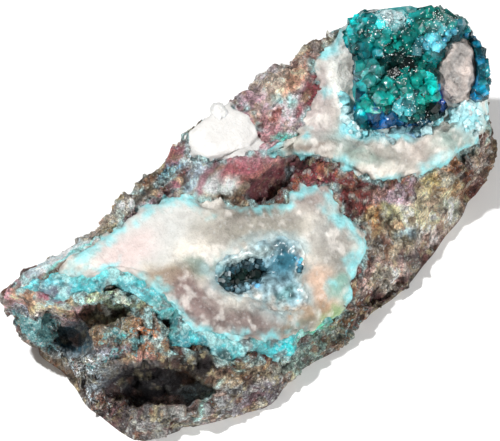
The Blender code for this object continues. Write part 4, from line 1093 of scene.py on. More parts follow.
# Calcite folds like a pillow along the low edge of the pool and in the band below the cluster.
PILLOWS = ((-6.0, -17.6, 13.0, 5.5, -12, 0.5), (29.0, 14.0, 17.0, 4.0, 6, 0.4))
pillow = sum(zone_share(*place, spots) for place in PILLOWS)
calcite_relief = (0.42 * octaves(base, 3.8, 111) + 0.16 * octaves(base, 1.2, 113, 2)) * (1 - 0.6 * even)
folds = 1.15 * beads(base, 5.2, 114) + 0.45 * beads(base, 2.6, 115) + 0.5 * octaves(base, 3.0, 116) - 0.6
calcite_relief = calcite_relief + np.clip(pillow, 0, 1) * folds
# Painted shade and light: the calcite is painted a little darker where it lies low and lighter on its swells.
calcite_colour = calcite_colour * np.clip(1.0 + 0.16 * calcite_relief, 0.7, 1.15)[:, None]
crust_relief = 0.60 * octaves(base, 2.2, 121) + 0.30 * beads(base, 1.2, 122) + 0.35 * chips(base, 1.1, 123)
# Dust and shade gather in the pits, so a point is darker the further it lies below its neighbours.
pits = smooth(0.60 + (0.4 * rock_relief - 0.4 * crag + sand) * 0.8)
rock_colour = np.clip(rock_colour * (0.6 + 1.1 * pits)[:, None], 0, 1)


def contact(depth):
    """A mineral's level near its edge: an S-curve from 1 mm under the rock to 0.2 mm over it."""
    return 1.2 * smooth((depth + 1.2) / 1.6) - 1.0


rock_level = -1.2 * smooth((in_any + 0.3) / 1.0) - 1.2 * smooth((in_any - 0.7) / 1.5)
rock_points = base + normals * ((rock_relief + rock_level) * low)[:, None]
# A few peaks are worn down, so that the dressed rock keeps the size of the solids.
PEAKS = np.array([0.9, 0.6, 0.4])  # how far peaks may stand past the solids' box in X, Y and Z
corner_low, corner_high = (np.array(corner) / MM - CENTRING for corner in cad_box)
rock_points = np.clip(rock_points, corner_low - PEAKS * [1, 1, 0], corner_high + PEAKS)
print("rock relief, mm:", rock_relief.min().round(2), "to", rock_relief.max().round(2))

# %% [markdown]
# ## The rock's material
#
# The rock is sandstone soaked with iron oxide and broken, never polished. What the eye sees is grain:
# each grain a little lighter or darker than the next, a few painted near white as glints, and painted
# shade in the pits between. The grain here is about 0.4 mm, as medium sand is. Turquoise grains are
# sprinkled where copper went.

# %% Iron-stained sandstone, broken


def make_sandstone():
    """Dull and gritty, with painted shade in its pits and a grain painted as a glint here and there."""
    made, tree, shader = blank_material("iron_stained_sandstone_broken")
    place = node(tree, "ShaderNodeTexCoord").outputs["Object"]
    ground = node(tree, "ShaderNodeAttribute", attribute_name="ground").outputs["Color"]
    grainy = node(tree, "ShaderNodeAttribute", attribute_name="grain").outputs["Fac"]
    coppery = node(tree, "ShaderNodeAttribute", attribute_name="copper").outputs["Fac"]
    # Grains aren't round: a little noise bends the space they are drawn in.
    bend = node(tree, "ShaderNodeTexNoise", {"Vector": place, "Scale": 1300, "Detail": 3}).outputs["Color"]
    shift = node(tree, "ShaderNodeVectorMath", {0: bend, "Scale": 0.0010}, operation="SCALE")
    bent = node(tree, "ShaderNodeVectorMath", {0: place, 1: shift}, operation="ADD")
    sand = node(tree, "ShaderNodeTexVoronoi", {"Vector": bent, "Scale": 2600})
    chance = node(tree, "ShaderNodeSeparateColor", {0: sand.outputs["Color"]}).outputs
    mottle = {"Vector": place, "Scale": 1300, "Detail": 5, "Roughness": 0.75}
    mottle = node(tree, "ShaderNodeTexNoise", mottle).outputs["Fac"]
    stains = node(tree, "ShaderNodeTexNoise", {"Vector": place, "Scale": 560, "Detail": 5, "Roughness": 0.7})
    stain = node(tree, "ShaderNodeSeparateColor", {0: stains.outputs["Color"]}).outputs
    # Lightness: mottling of a millimetre and less, and each sand grain its own.
    mottled = node(tree, "ShaderNodeMapRange", {"Value": mottle, 1: 0.34, 2: 0.66, 3: 0.42, 4: 1.6})
    by_grain = node(tree, "ShaderNodeMapRange", {"Value": chance[0], 3: 0.5, 4: 1.5})
    uneven = node(tree, "ShaderNodeMath", {0: mottled, 1: by_grain}, operation="MULTIPLY")
    power = node(tree, "ShaderNodeMapRange", {"Value": grainy, 2: 2.0, 3: 0.4, 4: 1.6})
    lightness = node(tree, "ShaderNodeMath", {0: uneven, 1: power}, operation="POWER")
    colour = node(tree, "ShaderNodeVectorMath", {0: ground, "Scale": lightness}, operation="SCALE")
    # Stains a millimetre wide, each from its own noise. The darkest rock shows none.
    light = node(tree, "ShaderNodeRGBToBW", {"Color": ground})
    clean = node(tree, "ShaderNodeMapRange", {"Value": light, 1: 0.01, 2: 0.14})
    clean = node(tree, "ShaderNodeMath", {0: clean, 1: grainy}, operation="MULTIPLY")
    for channel, start, full, cover, tint in (
        (0, 0.57, 0.61, 0.45, "#965433"),  # rust
        (1, 0.57, 0.61, 0.45, "#d3c59a"),  # ochre
        (2, 0.42, 0.38, 0.75, "#1e1613"),  # manganese, near black
    ):
        share = node(tree, "ShaderNodeMapRange", {"Value": stain[channel], 1: start, 2: full, 4: cover})
        share = node(tree, "ShaderNodeMath", {0: share, 1: clean}, operation="MULTIPLY")
        colour = node(tree, "ShaderNodeMix", {0: share, 6: colour, 7: tint}, data_type="RGBA")
    # Painted shade between the sand grains: the colour darkens towards each grain's edge.
    pit = node(tree, "ShaderNodeMapRange", {"Value": sand.outputs["Distance"], 1: 0.4, 2: 0.8, 4: 0.6})
    pit = node(tree, "ShaderNodeMath", {0: pit, 1: grainy}, operation="MULTIPLY")
    colour = node(tree, "ShaderNodeMix", {0: pit, 6: colour, 7: "#2a1d19"}, data_type="RGBA")
    # Copper: turquoise where the amount sprinkled here and the noise together pass a limit.
    reach = node(tree, "ShaderNodeMath", {0: stains.outputs["Fac"], 1: coppery}, operation="ADD")
    reach = node(tree, "ShaderNodeMath", {0: chance[1], 1: 0.12, 2: reach}, operation="MULTIPLY_ADD")
    blue = node(tree, "ShaderNodeMapRange", {"Value": reach, 1: 0.86, 2: 0.94, 4: 0.85})
    tint = node(tree, "ShaderNodeMix", {0: chance[2], 6: "#46a0aa", 7: "#b8f4f2"}, data_type="RGBA")
    colour = node(tree, "ShaderNodeMix", {0: blue, 6: colour, 7: tint}, data_type="RGBA")
    # Painted glints: one sand grain in twenty is painted near white as a glint, and is glossier, as clear
    # quartz is.
    glint = node(tree, "ShaderNodeMapRange", {"Value": chance[2], 1: 0.94, 2: 0.96, 4: 0.7})
    glint = node(tree, "ShaderNodeMath", {0: glint, 1: clean}, operation="MULTIPLY")
    colour = node(tree, "ShaderNodeMix", {0: glint, 6: colour, 7: "#dfe6e4"}, data_type="RGBA")
    gloss = node(tree, "ShaderNodeMapRange", {"Value": chance[2], 1: 0.7, 3: 0.7, 4: 0.3})
    # Relief: swells of the stains, domes of the sand grains, and roughness finer than a grain.
    swell = node(tree, "ShaderNodeMath", {0: stains.outputs["Fac"], 1: grainy}, operation="MULTIPLY")
    relief = node(tree, "ShaderNodeBump", {"Height": swell, "Distance": 0.0030, "Strength": 1.0})
    domes = {"Height": sand.outputs["Distance"], "Distance": 0.0005, "Strength": 1.0, "Normal": relief}
    relief = node(tree, "ShaderNodeBump", domes, invert=True)
    finest = {"Height": mottle, "Distance": 0.0010, "Strength": 1.0, "Normal": relief}
    relief = node(tree, "ShaderNodeBump", finest)
    fill(tree, shader, {"Base Color": colour, "Roughness": gloss, "Normal": relief})
    fill(tree, shader, {"IOR": 1.54, "Specular IOR Level": 0.35})
    return made


sandstone = make_sandstone()
rock = store(
    "rock", rock_points, (quads, fan), sandstone, "iron_stained_rock",
    ground=rock_colour, grain=grain, copper=copper,
)
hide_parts("matrix_rock")

# %% [markdown]
# ## Cutting a mineral's body out of the grid
#
# A mineral's surface is the part of the grid that lies in its outline. To make it a closed body, the
# same points are repeated under it, along the normals, and walls join the two along the edge. It
# runs on a little past its edge, where it lies under the rock.

# %% Cut a closed body
UNDER_ROCK = 1.2  # how far a mineral's body runs on past its edge


def cut_body(keep, level, thick):
    """The kept quads lifted by level along the normals, the same sunk by thick, and walls between."""
    used = quads[keep[quads].all(1)]
    ids = np.unique(used)
    new = np.full(len(keep), -1)
    new[ids] = np.arange(len(ids))
    face = new[used]
    n = len(ids)
    head, tail = face.ravel(), np.roll(face, -1, 1).ravel()
    alone = ~np.isin(head * n + tail, tail * n + head)
    a, b = head[alone], tail[alone]
    over = base[ids] + normals[ids] * level[ids, None]
    under = base[ids] + normals[ids] * (np.minimum(level[ids], 0) - thick)[:, None]
    faces = np.concatenate([face, face[:, ::-1] + n, np.column_stack([b, a, a + n, b + n])])
    return np.concatenate([over, under]), faces, np.concatenate([ids, ids])


# %% [markdown]
# ## Calcite
#
# Massive calcite is white and lets light a millimetre or so into itself, which softens its shadows
# and makes thin edges glow. Its broken grains are like lump sugar, 0.3 to 0.6 mm, each with a faint
# pearly glint, and a few painted near white as glints. A knob of it stands out among the dioptase and
# a small clear lump on the white patch. Each is a squashed ball with noise on it, because they stand
# too steep for the grid.

# %% Sugary calcite


def make_calcite():
    """White with a soft inner glow and a sugary grain, waxy to the eye and never mirror bright."""
    made, tree, shader = blank_material("sugary_calcite_grown")
    place = node(tree, "ShaderNodeTexCoord").outputs["Object"]
    ground = node(tree, "ShaderNodeAttribute", attribute_name="ground").outputs["Color"]
    sugar = node(tree, "ShaderNodeTexVoronoi", {"Vector": place, "Scale": 2200})
    cloud = {"Vector": place, "Scale": 620, "Detail": 6, "Roughness": 0.7}
    cloud = node(tree, "ShaderNodeTexNoise", cloud).outputs["Fac"]
    grainy = node(tree, "ShaderNodeAttribute", attribute_name="grain").outputs["Fac"]
    lightness = node(tree, "ShaderNodeMapRange", {"Value": cloud, 1: 0.32, 2: 0.68, 3: 0.70, 4: 1.18})
    lightness = node(tree, "ShaderNodeMath", {0: lightness, 1: grainy}, operation="POWER")
    colour = node(tree, "ShaderNodeVectorMath", {0: ground, "Scale": lightness}, operation="SCALE")
    chance = node(tree, "ShaderNodeSeparateColor", {0: sugar.outputs["Color"]}).outputs[0]
    # Painted glints: a few sugar grains are painted a little towards white, as grains catching the light.
    glint = node(tree, "ShaderNodeMapRange", {"Value": chance, 1: 0.92, 2: 0.94, 4: 0.14})
    colour = node(tree, "ShaderNodeMix", {0: glint, 6: colour, 7: "#f6f8f8"}, data_type="RGBA")
    gloss = node(tree, "ShaderNodeMapRange", {"Value": chance, 1: 0.2, 2: 0.95, 3: 0.6, 4: 0.25})
    swell = node(tree, "ShaderNodeMath", {0: cloud, 1: grainy}, operation="MULTIPLY")
    relief = node(tree, "ShaderNodeBump", {"Height": swell, "Distance": 0.0011, "Strength": 0.7})
    grains = {"Height": sugar.outputs["Distance"], "Distance": 0.0001, "Strength": 0.7, "Normal": relief}
    relief = node(tree, "ShaderNodeBump", grains)
    fill(tree, shader, {"Base Color": colour, "Roughness": gloss, "Normal": relief})
    fill(tree, shader, {"IOR": 1.6, "Specular IOR Level": 0.35, "Subsurface Weight": 0.2})
    # Light goes about a millimetre in, red a little further than blue.
    fill(tree, shader, {"Subsurface Radius": (1.0, 0.9, 0.8), "Subsurface Scale": 0.0010})
    return made


def half_axes(shape):
    """A mound's three half axes as rows: along, across and towards the viewer."""
    _, _, wide, high, turn, rise = shape
    angle = math.radians(turn)
    along = RIGHT * math.cos(angle) + UP * math.sin(angle)
    across = UP * math.cos(angle) - RIGHT * math.sin(angle)
    return np.array([along * wide, across * high, TO_VIEWER * rise])


def ball(shape, middle, rows, columns, lumps, seed):
    """A squashed ball facing the viewer, as latitudes by longitudes, with noise added outwards."""
    polar = np.pi * (np.arange(1, rows) / rows)[:, None]
    round_about = (2 * np.pi * np.arange(columns) / columns)[None]
    sides = (np.sin(polar) * np.cos(round_about), np.sin(polar) * np.sin(round_about), np.cos(polar))
    spot = np.stack(np.broadcast_arrays(*sides), axis=-1)
    spot = np.concatenate([spot.reshape(-1, 3), [[0, 0, 1], [0, 0, -1]]])
    points = middle + spot @ half_axes(shape)
    swell = octaves(points, 3.4, seed) + 0.5 * chips(points, 1.6, seed + 4)
    points = points + unit(points - middle) * (lumps * swell)[:, None]
    ring = np.arange((rows - 1) * columns).reshape(rows - 1, columns)
    after = np.roll(ring, -1, 1)
    body = np.stack([ring[1:], after[1:], after[:-1], ring[:-1]], axis=-1).reshape(-1, 4)
    top, bottom = len(points) - 2, len(points) - 1
    caps = np.concatenate([
        np.column_stack([ring[0], after[0], np.full(columns, top)]),
        np.column_stack([after[-1], ring[-1], np.full(columns, bottom)]),
    ])
    return points, body, caps


toward = base @ TO_VIEWER


def seat(right, up):
    """The skin's nearest point to the viewer within 0.6 mm of a place on the display plane."""
    near = np.hypot(spots[:, 0] - right, spots[:, 1] - up) < 0.6
    best = np.flatnonzero(near)[toward[near].argmax()]
    return RIGHT * (right + DISPLAY_MIDDLE[0]) + UP * (up + DISPLAY_MIDDLE[1]) + TO_VIEWER * toward[best]


# Right, up, half width, half height, turn and rise of the two lumps.
KNOB = (41.8, 30.4, 4.4, 7.4, -3, 5.2)
NUB = (-6.4, 21.9, 1.5, 2.2, 10, 1.8)
calcite = make_calcite()
# Name, depth of every point in it, then the lump on it: shape, sink, two tints and how sugary it is.
for name, depth, shape, sink, tints, sugariness in (
    ("calcite_pool", np.minimum(in_pool, -in_pocket), None, 0, (), 0),
    ("calcite_sheet", in_sheet, KNOB, 1.0, ("#a39d99", "#d6c7bf"), 1.6),
    ("white_patch", in_patch, NUB, 0.6, ("#c0c2c2", "#d2d1ce"), 0.4),
):
    level = (contact(depth) + calcite_relief * smooth(depth / 1.5 + 0.3)) * low
    points, faces, ids = cut_body(depth > -UNDER_ROCK, level, 1.4)
    colours, sugary = calcite_colour[ids], 1 - 0.75 * even[ids]
    groups = (faces,)
    if shape:
        middle = seat(shape[0], shape[1]) - TO_VIEWER * sink
        lump, body, caps = ball(shape, middle, 56, 88, 0.6, 131)
        tone = smooth(0.5 + octaves(lump, 2.5, 133) * 0.8)
        lump_colours = mix(np.tile(linear(tints[0]), (len(lump), 1)), linear(tints[1]), tone)
        groups = (np.concatenate([faces, body + len(points)]), caps + len(points))
        points, colours = np.concatenate([points, lump]), np.concatenate([colours, lump_colours])
        sugary = np.concatenate([sugary, np.full(len(lump), sugariness)])
    surface = store(f"{name}_surface", points, groups, calcite, "calcite", ground=colours, grain=sugary)
    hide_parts(name)

# %% [markdown]
# ## Chrysocolla
#
# Chrysocolla is a blue-green crust of beads under half a millimetre, waxy where it is thick and
# chalky where it is thin. The wax shows as a broad soft gloss.

# %% Beaded chrysocolla crust


def make_chrysocolla():
    """Beads with a soft waxy gloss, some of them chalky, and painted shade in the gaps between."""
    made, tree, shader = blank_material("chrysocolla_crust_beaded")
    place = node(tree, "ShaderNodeTexCoord").outputs["Object"]
    ground = node(tree, "ShaderNodeAttribute", attribute_name="ground").outputs["Color"]
    bend = node(tree, "ShaderNodeTexNoise", {"Vector": place, "Scale": 1300, "Detail": 3}).outputs["Color"]
    shift = node(tree, "ShaderNodeVectorMath", {0: bend, "Scale": 0.0012}, operation="SCALE")
    bent = node(tree, "ShaderNodeVectorMath", {0: place, 1: shift}, operation="ADD")
    bead = node(tree, "ShaderNodeTexVoronoi", {"Vector": bent, "Scale": 2400})
    cloud = {"Vector": place, "Scale": 800, "Detail": 6, "Roughness": 0.72}
    cloud = node(tree, "ShaderNodeTexNoise", cloud).outputs["Fac"]
    lightness = node(tree, "ShaderNodeMapRange", {"Value": cloud, 1: 0.34, 2: 0.66, 3: 0.55, 4: 1.5})
    colour = node(tree, "ShaderNodeVectorMath", {0: ground, "Scale": lightness}, operation="SCALE")
    chance = node(tree, "ShaderNodeSeparateColor", {0: bead.outputs["Color"]}).outputs
    chalk = node(tree, "ShaderNodeMapRange", {"Value": chance[1], 1: 0.7, 2: 1.0, 4: 0.45})
    colour = node(tree, "ShaderNodeMix", {0: chalk, 6: colour, 7: "#dcfafa"}, data_type="RGBA")
    # Painted shade in the gaps between the beads.
    gap = node(tree, "ShaderNodeMapRange", {"Value": bead.outputs["Distance"], 1: 0.55, 2: 0.9, 4: 0.4})
    colour = node(tree, "ShaderNodeMix", {0: gap, 6: colour, 7: "#1f5056"}, data_type="RGBA")
    gloss = node(tree, "ShaderNodeMapRange", {"Value": chance[0], 3: 0.55, 4: 0.3})
    domes = {"Height": bead.outputs["Distance"], "Distance": 0.0003, "Strength": 0.7}
    relief = node(tree, "ShaderNodeBump", domes, invert=True)
    swell = {"Height": cloud, "Distance": 0.0014, "Strength": 0.9, "Normal": relief}
    relief = node(tree, "ShaderNodeBump", swell)
    fill(tree, shader, {"Base Color": colour, "Roughness": gloss, "Normal": relief, "IOR": 1.5})
    return made


chrysocolla = make_chrysocolla()
# The crust is patchy: noise opens holes in it, where stained rock shows.
crust_depth = in_crust - 1.8 * smooth(octaves(base, 3.2, 124) * 1.5 - 0.1)
# It follows the calcite pool in a band that is wider at both ends.
band = 2.5 + 1.8 * octaves(base, 4.0, 125)
band = band + 4 * smooth((-32 - spots[:, 0]) / 5) + 2.5 * smooth((spots[:, 0] - 2) / 4)
crust_depth = np.minimum(crust_depth, band + in_pool)
crust_level = contact(crust_depth) + crust_relief * smooth(crust_depth / 1.2 + 0.2)
crust_level = (crust_level - 1.3 * smooth((in_pool + 0.1) / 1.0)) * low
points, faces, ids = cut_body((crust_depth > -UNDER_ROCK) & (in_pool < 1.6), crust_level, 1.2)
crust = store("chrysocolla_fringe", points, (faces,), chrysocolla, "chrysocolla", ground=crust_colour[ids])
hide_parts("chrysocolla_crust")

# %% [markdown]
# ## Crystals
#
# Dioptase grows as short six-sided prisms, each closed by three faces that meet in a point. Many
# hundreds are needed, so one formula makes them all at once: six corners round the axis at the foot,
# six at the shoulder and one at the tip. Every second shoulder corner is lower, which makes the
# three tip faces flat.

# %% A bunch of crystals from one formula
GOLDEN_ANGLE = math.pi * (3 - math.sqrt(5))
CRYSTAL_POINTS = 13  # six at the foot, six at the shoulder and the tip


def crystals(roots, axes, spins, radii, lengths, slope=0.84, sink=0.35):
    """Corner k stands at radius times the cosine and sine of spin + 60 k degrees round the axis.

    The share sink of the length lies under the root, and slope is how far a shoulder corner is down
    from the tip, in radii: all of it for one corner and half of it for the next.
    """
    n = len(roots)
    axis = unit(axes)
    aside = np.where(np.abs(axis[:, 2:]) > 0.9, [[1.0, 0, 0]], [[0, 0, 1.0]])
    side = unit(np.cross(aside, axis))
    other = np.cross(axis, side)
    turn = spins[:, None] + np.arange(6) * np.pi / 3
    ring = np.cos(turn)[..., None] * side[:, None] + np.sin(turn)[..., None] * other[:, None]
    ring = roots[:, None] + ring * radii[:, None, None]
    foot = ring - axis[:, None] * (sink * lengths)[:, None, None]
    fall = radii[:, None] * slope * np.array([1.0, 0.5] * 3)
    shoulder = ring + axis[:, None] * ((1 - sink) * lengths[:, None] - fall)[..., None]
    tip = roots + axis * ((1 - sink) * lengths)[:, None]
    points = np.concatenate([foot, shoulder, tip[:, None]], axis=1).reshape(-1, 3)
    k = np.arange(6)
    sides = np.column_stack([k, (k + 1) % 6, (k + 1) % 6 + 6, k + 6])
    e = np.array([0, 2, 4])
    tips = np.column_stack([np.full(3, 12), (e - 1) % 6 + 6, e + 6, (e + 1) % 6 + 6])
    start = (CRYSTAL_POINTS * np.arange(n))[:, None, None]
    four = (np.concatenate([sides, tips])[None] + start).reshape(-1, 4)
    six = (np.arange(6)[::-1][None, None] + start).reshape(-1, 6)
    return points, (four, six)


def make_crystal(name, roughness, transmission, ior, ripple=0.0, sparkle=False):
    """A glassy crystal whose colour comes from its points, with faces rippled by growth steps.

    Where it sparkles, flakes a third of a millimetre wide are painted near white as glints, more of them
    where the points' glint is high.
    """
    made, tree, shader = blank_material(name)
    ground = node(tree, "ShaderNodeAttribute", attribute_name="ground").outputs["Color"]
    place = node(tree, "ShaderNodeTexCoord").outputs["Object"]
    steps = {"Vector": place, "Scale": 800, "Detail": 4, "Roughness": 0.6}
    steps = node(tree, "ShaderNodeTexNoise", steps).outputs["Fac"]
    lightness = node(tree, "ShaderNodeMapRange", {"Value": steps, 1: 0.34, 2: 0.66, 3: 0.5, 4: 1.5})
    colour = node(tree, "ShaderNodeVectorMath", {0: ground, "Scale": lightness}, operation="SCALE")
    if sparkle:
        # Painted glints: small flakes painted near white, more of them where the glint attribute is high.
        flake = node(tree, "ShaderNodeTexVoronoi", {"Vector": place, "Scale": 2900})
        chance = node(tree, "ShaderNodeSeparateColor", {0: flake.outputs["Color"]}).outputs[0]
        glint = node(tree, "ShaderNodeAttribute", attribute_name="glint").outputs["Fac"]
        reach = node(tree, "ShaderNodeMath", {0: glint, 1: 0.6, 2: chance}, operation="MULTIPLY_ADD")
        bright = node(tree, "ShaderNodeMapRange", {"Value": reach, 1: 1.0, 2: 1.02, 4: 0.95})
        small = node(tree, "ShaderNodeMapRange", {"Value": flake.outputs["Distance"], 1: 0.48, 2: 0.36})
        share = node(tree, "ShaderNodeMath", {0: bright, 1: small}, operation="MULTIPLY")
        colour = node(tree, "ShaderNodeMix", {0: share, 6: colour, 7: "#f0ffff"}, data_type="RGBA")
    if ripple:
        wavy = node(tree, "ShaderNodeBump", {"Height": steps, "Distance": 0.0006, "Strength": ripple})
        fill(tree, shader, {"Normal": wavy})
    fill(tree, shader, {"Base Color": colour, "Roughness": roughness, "Transmission Weight": transmission})
    fill(tree, shader, {"IOR": ior, "Specular IOR Level": 0.14})
    return made


# %% [markdown]
# ## Mounds of crystals
#
# The cluster is six rounded mounds that overlap, with crystals of five sizes standing on them at
# golden-angle steps, which spread them evenly without rows. Each leans a little at random. The
# calcite knob stays free of them, and none stands past the cluster's outline.

# %% Plant the crystals on the mounds
# Outline of the whole cluster on the display plane, clockwise from its left corner.
CLUSTER_OUTLINE = (
    (17.8, 37.7), (21.1, 42.1), (22.8, 43.1), (25.8, 42.7), (31.3, 43.5), (33.0, 41.7), (35.1, 42.1),
    (37.8, 43.6), (39.8, 42.1), (42.9, 41.4), (45.0, 38.6), (47.4, 35.3), (48.7, 30.5), (48.7, 25.7),
    (47.6, 24.3), (44.3, 24.2), (39.8, 22.4), (39.5, 20.3), (36.4, 19.7), (30.6, 18.5), (24.2, 17.7),
    (20.6, 19.2), (20.9, 22.3), (22.0, 26.0), (20.8, 28.8), (20.8, 30.8), (19.8, 33.9), (18.7, 35.6),
)
# Mounds: right, up, half width, half height, turn, rise towards the viewer.
MOUNDS = (
    (28.2, 36.2, 8.6, 5.6, -8, 5.6),
    (24.8, 25.2, 5.4, 7.0, -4, 4.6),
    (33.2, 25.6, 6.2, 6.8, -14, 5.4),
    (38.4, 37.0, 7.0, 5.0, -30, 4.4),
    (33.6, 31.4, 6.4, 4.6, 0, 3.8),
    (45.4, 30.4, 2.6, 6.6, 12, 3.0),
)
CRYSTALS_PER_AREA = 8.0  # times the mean product of a mound's half axes
RADII = (0.4, 0.6, 0.85, 1.2, 1.5)
RADIUS_SHARES = (0.22, 0.28, 0.26, 0.16, 0.08)
STANDS_OVER = 0.6  # how far a crystal may stand over the solids' highest point


def in_mound(shape, points):
    """Distance from a mound's middle in its own half axes: under 1 is inside it."""
    axes = half_axes(shape)
    lengths = np.linalg.norm(axes, axis=1, keepdims=True)
    local = (points - seat(*shape[:2])) @ (axes / lengths**2).T
    return np.linalg.norm(local, axis=1)


def over_knob(points):
    """Distance from the knob's middle on the display plane, in its own half axes."""
    right, up, wide, high, turn, _ = KNOB
    along, across = turned(right, up, turn, display(points))
    return np.hypot(along / wide, across / high)


rng = np.random.default_rng(7)
roots, directions, radii = [], [], []
for shape in MOUNDS:
    middle, axes = seat(*shape[:2]), half_axes(shape)
    lengths = np.linalg.norm(axes, axis=1)
    area = lengths[0] * lengths[1] + lengths[2] * (lengths[0] + lengths[1]) / 2
    count = int(CRYSTALS_PER_AREA * area)
    height = 0.99 - 1.02 * (np.arange(count) + 0.5) / count  # from the crown to just under the rim
    ring = np.sqrt(1 - height**2)
    turn = np.arange(count) * GOLDEN_ANGLE
    spot = np.column_stack([ring * np.cos(turn), ring * np.sin(turn), height])
    spot = unit(spot + rng.normal(0, 0.04, spot.shape))
    root = middle + spot @ axes
    normal = unit(spot @ (axes / lengths[:, None] ** 2))
    free = np.min([in_mound(other, root) for other in MOUNDS if other is not shape], axis=0) >= 0.9
    roots.append(root[free])
    directions.append((normal + rng.normal(0, 0.62, normal.shape))[free])
    radii.append(rng.choice(RADII, free.sum(), p=RADIUS_SHARES))
roots, directions, radii = map(np.concatenate, (roots, directions, radii))
radii = radii * rng.uniform(0.85, 1.15, len(radii))
lengths = radii * rng.uniform(2.2, 4.0, len(radii))
# A crystal that would stand too high sits that much deeper. One that would reach past the cluster's
# outline with its tip or foot, or over the knob, is left out.
reach = unit(directions) * (0.5 * lengths)[:, None]
tops = np.maximum((roots + reach)[:, 2], roots[:, 2]) + 0.5 * radii
roots[:, 2] -= np.maximum(tops - (cad_box[1][2] / MM + STANDS_OVER), 0)
within = np.min([inside(CLUSTER_OUTLINE, display(end)) for end in (roots + reach, roots - reach)], axis=0)
kept = (within > 0.2 * radii) & (over_knob(roots) > 1 + 0.08 * radii) & (over_knob(roots + reach) > 0.97)
roots, directions, radii, lengths = roots[kept], directions[kept], radii[kept], lengths[kept]
spins = rng.uniform(0, 1.05, len(radii))
points, faces = crystals(roots, directions, spins, radii, lengths, sink=0.5)
print(len(radii), "dioptase crystals")

# %% [markdown]
# ## Dioptase
#
# Dioptase is a clear emerald green that turns to deep teal where crystals lie over each other, with
# bright blue in the thin crust at its rim. Its index of refraction is high, about 1.67, so every
# facet throws a sharp glint. The mounds under the crystals are dioptase too, painted dark green as
# the shade in the gaps between the crystals.

# %% Zones of colour and of glints on the dioptase
DIOPTASE_IOR = 1.67
DIOPTASE_ZONES = (
    ("teal top", 23.4, 39.4, 5.0, 3.6, 30, 0.6, "#029c9c", 0.9),
    ("blue top left", 21.6, 37.4, 1.6, 4.4, -28, 0.6, "#02b6bb", 0.5),
    # Painted highlight: glare on the top, lighter teal round a near-white spot.
    ("pale top", 28.8, 40.6, 4.4, 2.6, 0, 0.6, "#32d8e1", 0.8),
    ("painted glare on the top", 28.6, 40.4, 2.4, 1.5, 0, 0.6, "#ddf0f3", 0.9),
    ("dark shoulder", 24.0, 33.6, 4.2, 2.4, 0, 0.6, "#03545c", 0.9),
    ("dark band", 33.0, 36.0, 4.6, 2.0, -40, 0.6, "#025b56", 0.9),
    # Painted shade in the valley between the mounds.
    ("dark valley", 29.4, 31.6, 4.4, 3.2, 20, 0.5, "#021815", 0.97),
    ("dark top right", 37.6, 40.6, 3.0, 3.0, 0, 0.7, "#04716a", 0.85),
    ("teal slope", 41.6, 40.0, 3.2, 1.8, -40, 0.6, "#06736f", 0.9),
    ("cyan slope", 41.2, 36.8, 2.8, 1.3, -30, 0.5, "#6fdcee", 0.85),
    ("white glints", 38.0, 38.6, 1.8, 1.2, 0, 0.7, "#509196", 0.6),
    ("cyan bridge", 37.4, 35.4, 3.6, 1.5, -8, 0.5, "#73d9f3", 0.8),
    ("green middle", 37.0, 30.4, 2.2, 3.6, 0, 0.6, "#0ab0ad", 0.85),
    ("blue left rim", 20.6, 30.0, 1.4, 3.4, 12, 0.6, "#07bbf3", 0.6),
    ("pale left rim", 22.8, 28.9, 2.2, 1.0, 0, 0.6, "#e4edf3", 0.85),
    ("cyan left side", 24.2, 28.7, 1.6, 1.6, 0, 0.6, "#5aeaf0", 0.8),
    ("pale left side", 21.6, 25.9, 1.4, 1.8, 0, 0.6, "#8aeaf3", 0.9),
    ("green heart", 25.0, 26.0, 4.6, 3.4, 0, 0.6, "#0db7b0", 0.85),
    ("green low", 32.6, 26.4, 3.2, 3.0, 0, 0.7, "#02968e", 0.8),
    ("pale low", 31.0, 23.2, 2.4, 1.6, 30, 0.6, "#65d0dc", 0.75),
    # Painted shadow beside the knob and under the cluster.
    ("dark foot", 37.0, 22.6, 3.4, 2.4, 20, 0.5, "#020202", 0.95),
    ("dark low", 33.2, 20.4, 3.8, 1.6, 6, 0.6, "#022025", 0.9),
    ("blue foot", 26.6, 20.6, 4.4, 1.5, -6, 0.5, "#0c68bd", 0.85),
    ("blue left foot", 21.8, 22.6, 1.4, 3.0, 0, 0.6, "#02c8d0", 0.6),
    ("blue by the knob", 39.0, 26.4, 1.4, 3.0, -20, 0.6, "#0267f3", 0.85),
    ("right rim", 46.6, 30.0, 2.2, 7.0, 10, 0.6, "#037586", 0.9),
    ("blue right rim", 45.0, 29.0, 1.0, 5.4, 10, 0.6, "#1ba6f3", 0.8),
)
# Where painted glints gather, as many small faces flash at once: right, up, half sizes, turn, softness,
# amount.
GLINTS = (
    (33.0, 31.0, 40.0, 40.0, 0, 0.2, 0.03),
    (28.8, 40.8, 3.6, 2.4, 0, 0.6, 0.90),
    (38.2, 40.1, 2.8, 1.9, 0, 0.6, 0.65),
    (24.2, 37.8, 1.1, 0.9, 0, 0.5, 0.80),
    (27.6, 34.5, 0.9, 1.0, 0, 0.5, 0.80),
    (30.0, 29.3, 1.9, 1.1, -45, 0.6, 0.70),
    (31.2, 22.9, 2.9, 1.6, 12, 0.6, 0.55),
    (36.6, 36.4, 2.9, 1.1, -12, 0.6, 0.55),
    (33.4, 33.9, 1.1, 1.5, 20, 0.6, 0.45),
    (35.6, 20.4, 2.0, 0.6, 10, 0.6, 0.45),
)


def thin_crust(points):
    """1 at the cluster's left and lower edge, 0.8 round the knob, and an S-curve down to 0 inwards."""
    places = display(points)
    left_or_low = np.maximum(smooth((24.5 - places[:, 0]) / 3), smooth((22.5 - places[:, 1]) / 2))
    edge = (1 - smooth(inside(CLUSTER_OUTLINE, places) / 1.3 - 0.2)) * left_or_low
    round_knob = 1 - smooth((over_knob(points) - 1.0) / 0.24)
    round_knob = round_knob * (1 - zone_share(37.2, 22.8, 3.4, 3.0, 0, 0.5, places))
    return np.maximum(edge, 0.8 * round_knob)


